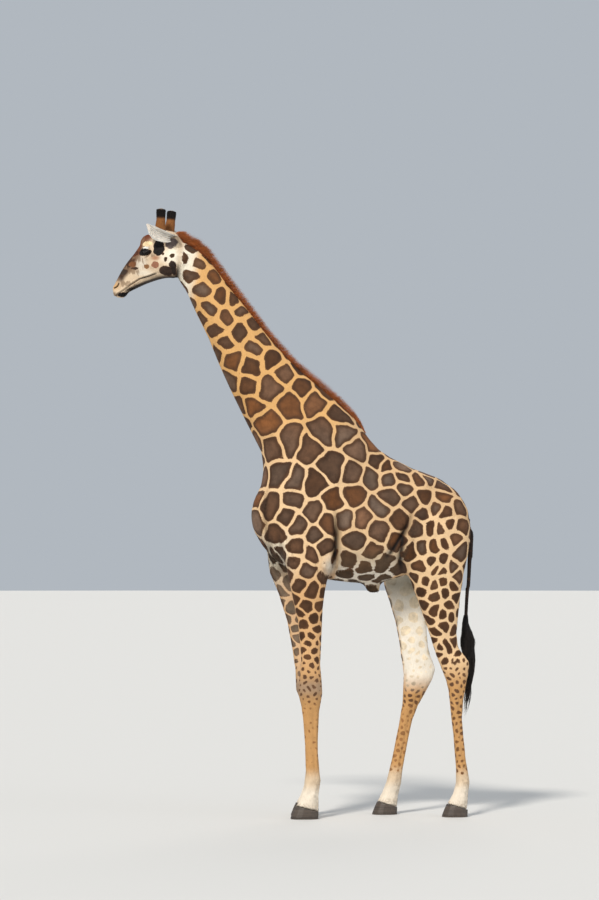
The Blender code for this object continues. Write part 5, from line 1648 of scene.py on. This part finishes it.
horn_finish = horn_material()
HOOVES = [name for name in nodes if "hoof" in name]
RING_DEPTH, RING_SPACING = 0.0007, 0.011
for name in HOOVES:
    hoof = melted(f"{name}_horn", [name], 0.0040, 0.0)
    relaxed(hoof, 5)
    points, outward = coordinates(hoof), normals_of(hoof)
    level = points[:, 2]
    top = level.max()
    wall = ramp(1 - abs(outward[:, 2]), 0.3, 0.7)
    ripple = RING_DEPTH * np.sin(level * 2 * math.pi / RING_SPACING)
    points += outward * (ripple * wall * ramp(level, 0.004, 0.012))[:, None]
    points[:, 2] = np.where(level < 0.0042, 0.0, points[:, 2])
    points[:, 2] = np.maximum(points[:, 2], 0.0)
    put_back(hoof, points)
    hoof.data.materials.clear()
    hoof.data.materials.append(horn_finish)
    hoof.data.shade_smooth()
    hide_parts(name)
    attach(hoof, "root")
print(len(HOOVES), "claws")

# %% [markdown]
# ## Mane and tail
#
# The mane is a short stiff brush, from between the ears to the withers, and leans back a little.
# Its roots are found by dropping rays onto the skin along the crest. Most hairs are as long as
# the solid mane is high there, found with a second ray from outside, so the brush keeps the
# outline of the solid. The tuft of the tail is long black hair that hangs and curls.

# %% Mane
MANE_LINE = np.array((
    (-0.985, 4.640), (-0.928, 4.618), (-0.850, 4.545), (-0.764, 4.462), (-0.609, 4.248), (-0.438, 4.055),
    (-0.262, 3.840), (-0.044, 3.600), (0.197, 3.374), (0.394, 3.216), (0.484, 3.136), (0.536, 3.062),
))
MANE_LEAN = (0.047, 0.037, 0.029, 0.019, -0.001, -0.019, -0.029, -0.033, -0.033, -0.033, -0.033, -0.033)
mane_tree, _ = search_tree(["mane"])
hair_tree = BVHTree.FromPolygons([Vector(point) for point in coordinates(skin)],
                                 [tuple(face.vertices) for face in skin.data.polygons])


def hair_material(name, root_colour, tip_colour, roughness):
    shader = Shader(name)
    along, shade = shader.attribute("along", "Fac"), shader.attribute("shade", "Fac")
    colour = shader.mix(along, root_colour, tip_colour)
    colour = shader.mix(1.0, colour, shader.add("MapRange", {0: shade, 3: 0.55, 4: 1.45})[0], "MULTIPLY")
    return shader.finish(Base_Color=colour, Roughness=roughness, Specular_IOR_Level=0.35)


def mane_spot(share):
    """The crest's place and its ways along and up, a share of the way down the neck."""
    run = np.linspace(0, 1, len(MANE_LINE))
    x, z = np.interp(share, run, MANE_LINE[:, 0]), np.interp(share, run, MANE_LINE[:, 1])
    here = np.array((x, np.interp(share, run, MANE_LEAN), z))
    near = min(share + 0.03, 1.0), max(share - 0.03, 0.0)
    dx, dz = (np.interp(near[0], run, MANE_LINE[:, axis]) - np.interp(near[1], run, MANE_LINE[:, axis])
              for axis in (0, 1))
    along = np.array((dx, 0, dz)) / math.hypot(dx, dz)
    return here, along, np.array((-along[2], 0, along[0]))


random = np.random.default_rng(77)
mane_count = 13500
roots, ways, lengths, shares = [], [], [], []
while len(roots) < mane_count:
    share = random.uniform(0, 1)
    here, along, up = mane_spot(share)
    sideways = random.normal(0, 0.0085)
    start = here + up * 0.16 + np.array((0, sideways, 0))
    root = hair_tree.ray_cast(Vector(start), Vector(-up), 0.4)[0]
    if root is None:
        continue
    lean = 0.62 + 0.08 * math.sin(share * 70) + random.normal(0, 0.08)
    way = up + along * lean + np.array((0, sideways * 6 + random.normal(0, 0.04), 0))
    way /= np.linalg.norm(way)
    root = np.array(root)
    hit = mane_tree.ray_cast(Vector(root + way * 0.25), Vector(-way), 0.3)
    reach = 0.25 - hit[3] if hit[0] is not None else 0.016
    if reach < 0.010:
        continue
    roots.append(root)
    ways.append(way)
    grown = random.uniform(0.88, 1.06) if random.uniform() < 0.85 else random.uniform(0.4, 0.9)
    lengths.append(reach * grown)
    shares.append(share)
roots, ways, lengths = np.array(roots), np.array(ways), np.array(lengths)
steps = np.linspace(0, 1, 3)
curl = random.normal(0, 0.05, (mane_count, 3))
lines = np.stack([roots - ways * 0.004 + lengths[:, None] * (ways * step + curl * step * step)
                  for step in steps], axis=1)
widths = random.uniform(0.0007, 0.0014, mane_count)[:, None] * (1 - 0.65 * steps)[None]
broad = np.cross(ways, random.normal(0, 1, (mane_count, 3)))
mane_layout = np.stack((np.array(shares), lengths * 4 + 0.2), 1)
mane, per_hair = hair_mesh("mane_brush", lines, widths, broad, mane_layout, 0.6, True)
ring_share = spike(3)[0][:, 2] / 2
shade = np.clip(random.normal(0.5, 0.16, mane_count) + 0.10 * np.sin(np.array(shares) * 95), 0, 1)
store(mane, "along", "FLOAT", np.tile(ring_share, mane_count))
store(mane, "shade", "FLOAT", np.repeat(shade, per_hair))
mane.data.materials.append(
    hair_material("mane_hair", (*tint(122, 56, 22), 1), (*tint(208, 120, 56), 1), 0.55))
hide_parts("mane")
print("mane of", mane_count, "hairs, up to", round(float(lengths.max()) * 1000), "mm")

# %% [markdown]
# ## The tail's tuft
#
# The tail ends in coarse black hair that hangs in locks. Each hair follows the tuft's middle line at
# its own distance from it. The hairs of one lock share a turn, a distance and a sway, so the tuft
# parts into strands and isn't one smooth brush.

# %% Tail tuft
BODY_MIDDLE = -0.0332  # the body's middle plane, across
TUFT_LINE = np.array((
    (1.374, 1.605), (1.369, 1.530), (1.380, 1.460), (1.392, 1.390), (1.394, 1.290),
    (1.404, 1.200), (1.398, 1.080), (1.388, 0.960), (1.374, 0.850), (1.360, 0.765),
))
TUFT_REACH = np.array((0.023, 0.029, 0.043, 0.056, 0.052, 0.038, 0.029, 0.025, 0.017, 0.005))
tuft_count = 3000
random = np.random.default_rng(88)
start = random.uniform(0.0, 0.45, tuft_count)
long = random.uniform(0.30, 0.62, tuft_count)
end = np.minimum(start + long, random.uniform(0.86, 1.0, tuft_count))
lock_count = 22
lock = random.integers(0, lock_count, tuft_count)
lock_turn = np.arange(lock_count) * 2.4
lock_spread = np.sqrt((np.arange(lock_count) + 0.6) / lock_count)
lock_sway = random.uniform(0, 2 * math.pi, (lock_count, 2))
lock_end = np.where(np.arange(lock_count) % 3 == 0, random.uniform(0.86, 1.0, lock_count),
                    random.uniform(0.52, 0.86, lock_count))
turn = lock_turn[lock] + random.normal(0, 0.20, tuft_count)
spread = np.clip(lock_spread[lock] + random.normal(0, 0.10, tuft_count), 0.03, 1.0)
sway = lock_sway[lock] + random.normal(0, 0.25, (tuft_count, 2))
end = np.minimum(end, lock_end[lock] + random.normal(0, 0.02, tuft_count))
end = np.clip(end, start + 0.12, 1.0)
run = np.linspace(0, 1, len(TUFT_LINE))
steps = np.linspace(0, 1, 7)
lines = []
for step in steps:
    share = np.clip(start + (end - start) * step, 0, 1)
    open_out = (0.5 + 0.5 * ramp((share - start) / 0.12, 0, 1)) * np.interp(share, run, TUFT_REACH) * spread
    tail_end = (0.0165 + 0.0065 * ramp(share - start, 0, 0.07)) * ramp(share, 0.30, 0.14)
    open_out = np.maximum(open_out, tail_end)
    wave = 0.0085 * ramp(step, 0.1, 0.6) * np.sin(share[:, None] * 21 + sway)
    open_out = open_out * (1 - 0.25 * ramp(step, 0.75, 1.0) * (lock % 2))
    lines.append(np.stack((
        np.interp(share, run, TUFT_LINE[:, 0]) + np.cos(turn) * open_out + wave[:, 0],
        BODY_MIDDLE + np.sin(turn) * open_out + wave[:, 1],
        np.interp(share, run, TUFT_LINE[:, 1]),
    ), axis=1))
lines = np.stack(lines, axis=1)
widths = random.uniform(0.0008, 0.0017, tuft_count)[:, None] * np.sqrt(1.02 - steps)[None]
tuft, per_hair = hair_mesh("tail_brush", lines, widths, random.normal(0, 1, (tuft_count, 3)),
                           np.stack((turn / 6.3, start + 0.1), axis=1), 0.6, True)
store(tuft, "along", "FLOAT", np.tile(spike(7)[0][:, 2] / 6, tuft_count))
store(tuft, "shade", "FLOAT", np.repeat(np.clip(random.normal(0.5, 0.2, tuft_count), 0, 1), per_hair))
tuft.data.materials.append(
    hair_material("tail_hair", (0.012, 0.010, 0.010, 1), (0.030, 0.021, 0.017, 1), 0.45))
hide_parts("tail_tuft")
print("tail tuft of", tuft_count, "hairs in", lock_count, "locks")

# %% [markdown]
# ## Floor, light and camera
#
# A museum photographer would stand well back with a long lens, which keeps the legs straight, and
# would light the animal from the front left with one large soft lamp, with a weaker one opposite.
# The floor is a wide pale disc, so wide that its edge stays out of the way in every view.

# %% Floor
disc = bmesh.new()
bmesh.ops.create_circle(disc, cap_ends=True, segments=96, radius=160)
floor = added("floor", disc)
floor.data.materials.append(plain_material("pale_floor", (0.66, 0.65, 0.63), 0.9))
print("floor", round(floor.dimensions.x), "m across")

# %% [markdown]
# One strong lamp, a weak one from the other side and a weak one behind show the form, and a pale
# blue surrounding light fills the shadows as an open sky would. All three are suns, whose light is
# even over the whole floor.

# %% Light
world = bpy.data.worlds.new("studio")
world.use_nodes = True
world.node_tree.nodes["Background"].inputs["Color"].default_value = (0.80, 0.87, 0.95, 1)
world.node_tree.nodes["Background"].inputs["Strength"].default_value = 0.55
bpy.context.scene.world = world


def far_lamp(name, place, power, softness, colour):
    """A lamp so far off that its light is even over the whole floor."""
    light = bpy.data.lights.new(name, "SUN")
    light.energy = power
    light.angle = math.radians(softness)
    light.color = colour
    obj = bpy.data.objects.new(name, light)
    obj.location = place
    obj.rotation_euler = Vector(place).to_track_quat("Z", "Y").to_euler()
    bpy.context.collection.objects.link(obj)
    return obj


lamps = [
    far_lamp("key", (-7.5, -12.0, 13.5), 2.7, 9, (1.0, 0.95, 0.87)),
    far_lamp("fill", (12.0, -9.0, 5.0), 0.45, 40, (0.92, 0.96, 1.0)),
    far_lamp("rim", (4.0, 12.0, 9.0), 0.5, 30, (1.0, 0.97, 0.92)),
]
print(len(lamps), "lamps")

# %% [markdown]
# The camera stands far off at about the height of the belly and looks a little upwards. From there
# the near and the far legs come out almost the same size.

# %% Camera
camera_data = bpy.data.cameras.new("camera")
camera_data.lens = 130
camera_data.sensor_width = 36
camera_data.clip_end = 500
camera = bpy.data.objects.new("camera", camera_data)
bpy.context.collection.objects.link(camera)
AZIMUTH, DISTANCE, EYE_LEVEL = math.radians(-10), 26.0, 2.10
AIM = Vector((0.0115, -0.0369, 2.93))
camera.location = (AIM.x + math.sin(AZIMUTH) * DISTANCE, AIM.y - math.cos(AZIMUTH) * DISTANCE, EYE_LEVEL)
camera.rotation_euler = (AIM - camera.location).to_track_quat("-Z", "Y").to_euler()
bpy.context.scene.camera = camera
bpy.context.scene.view_settings.view_transform = "Standard"
print("camera", [round(x, 2) for x in camera.location])
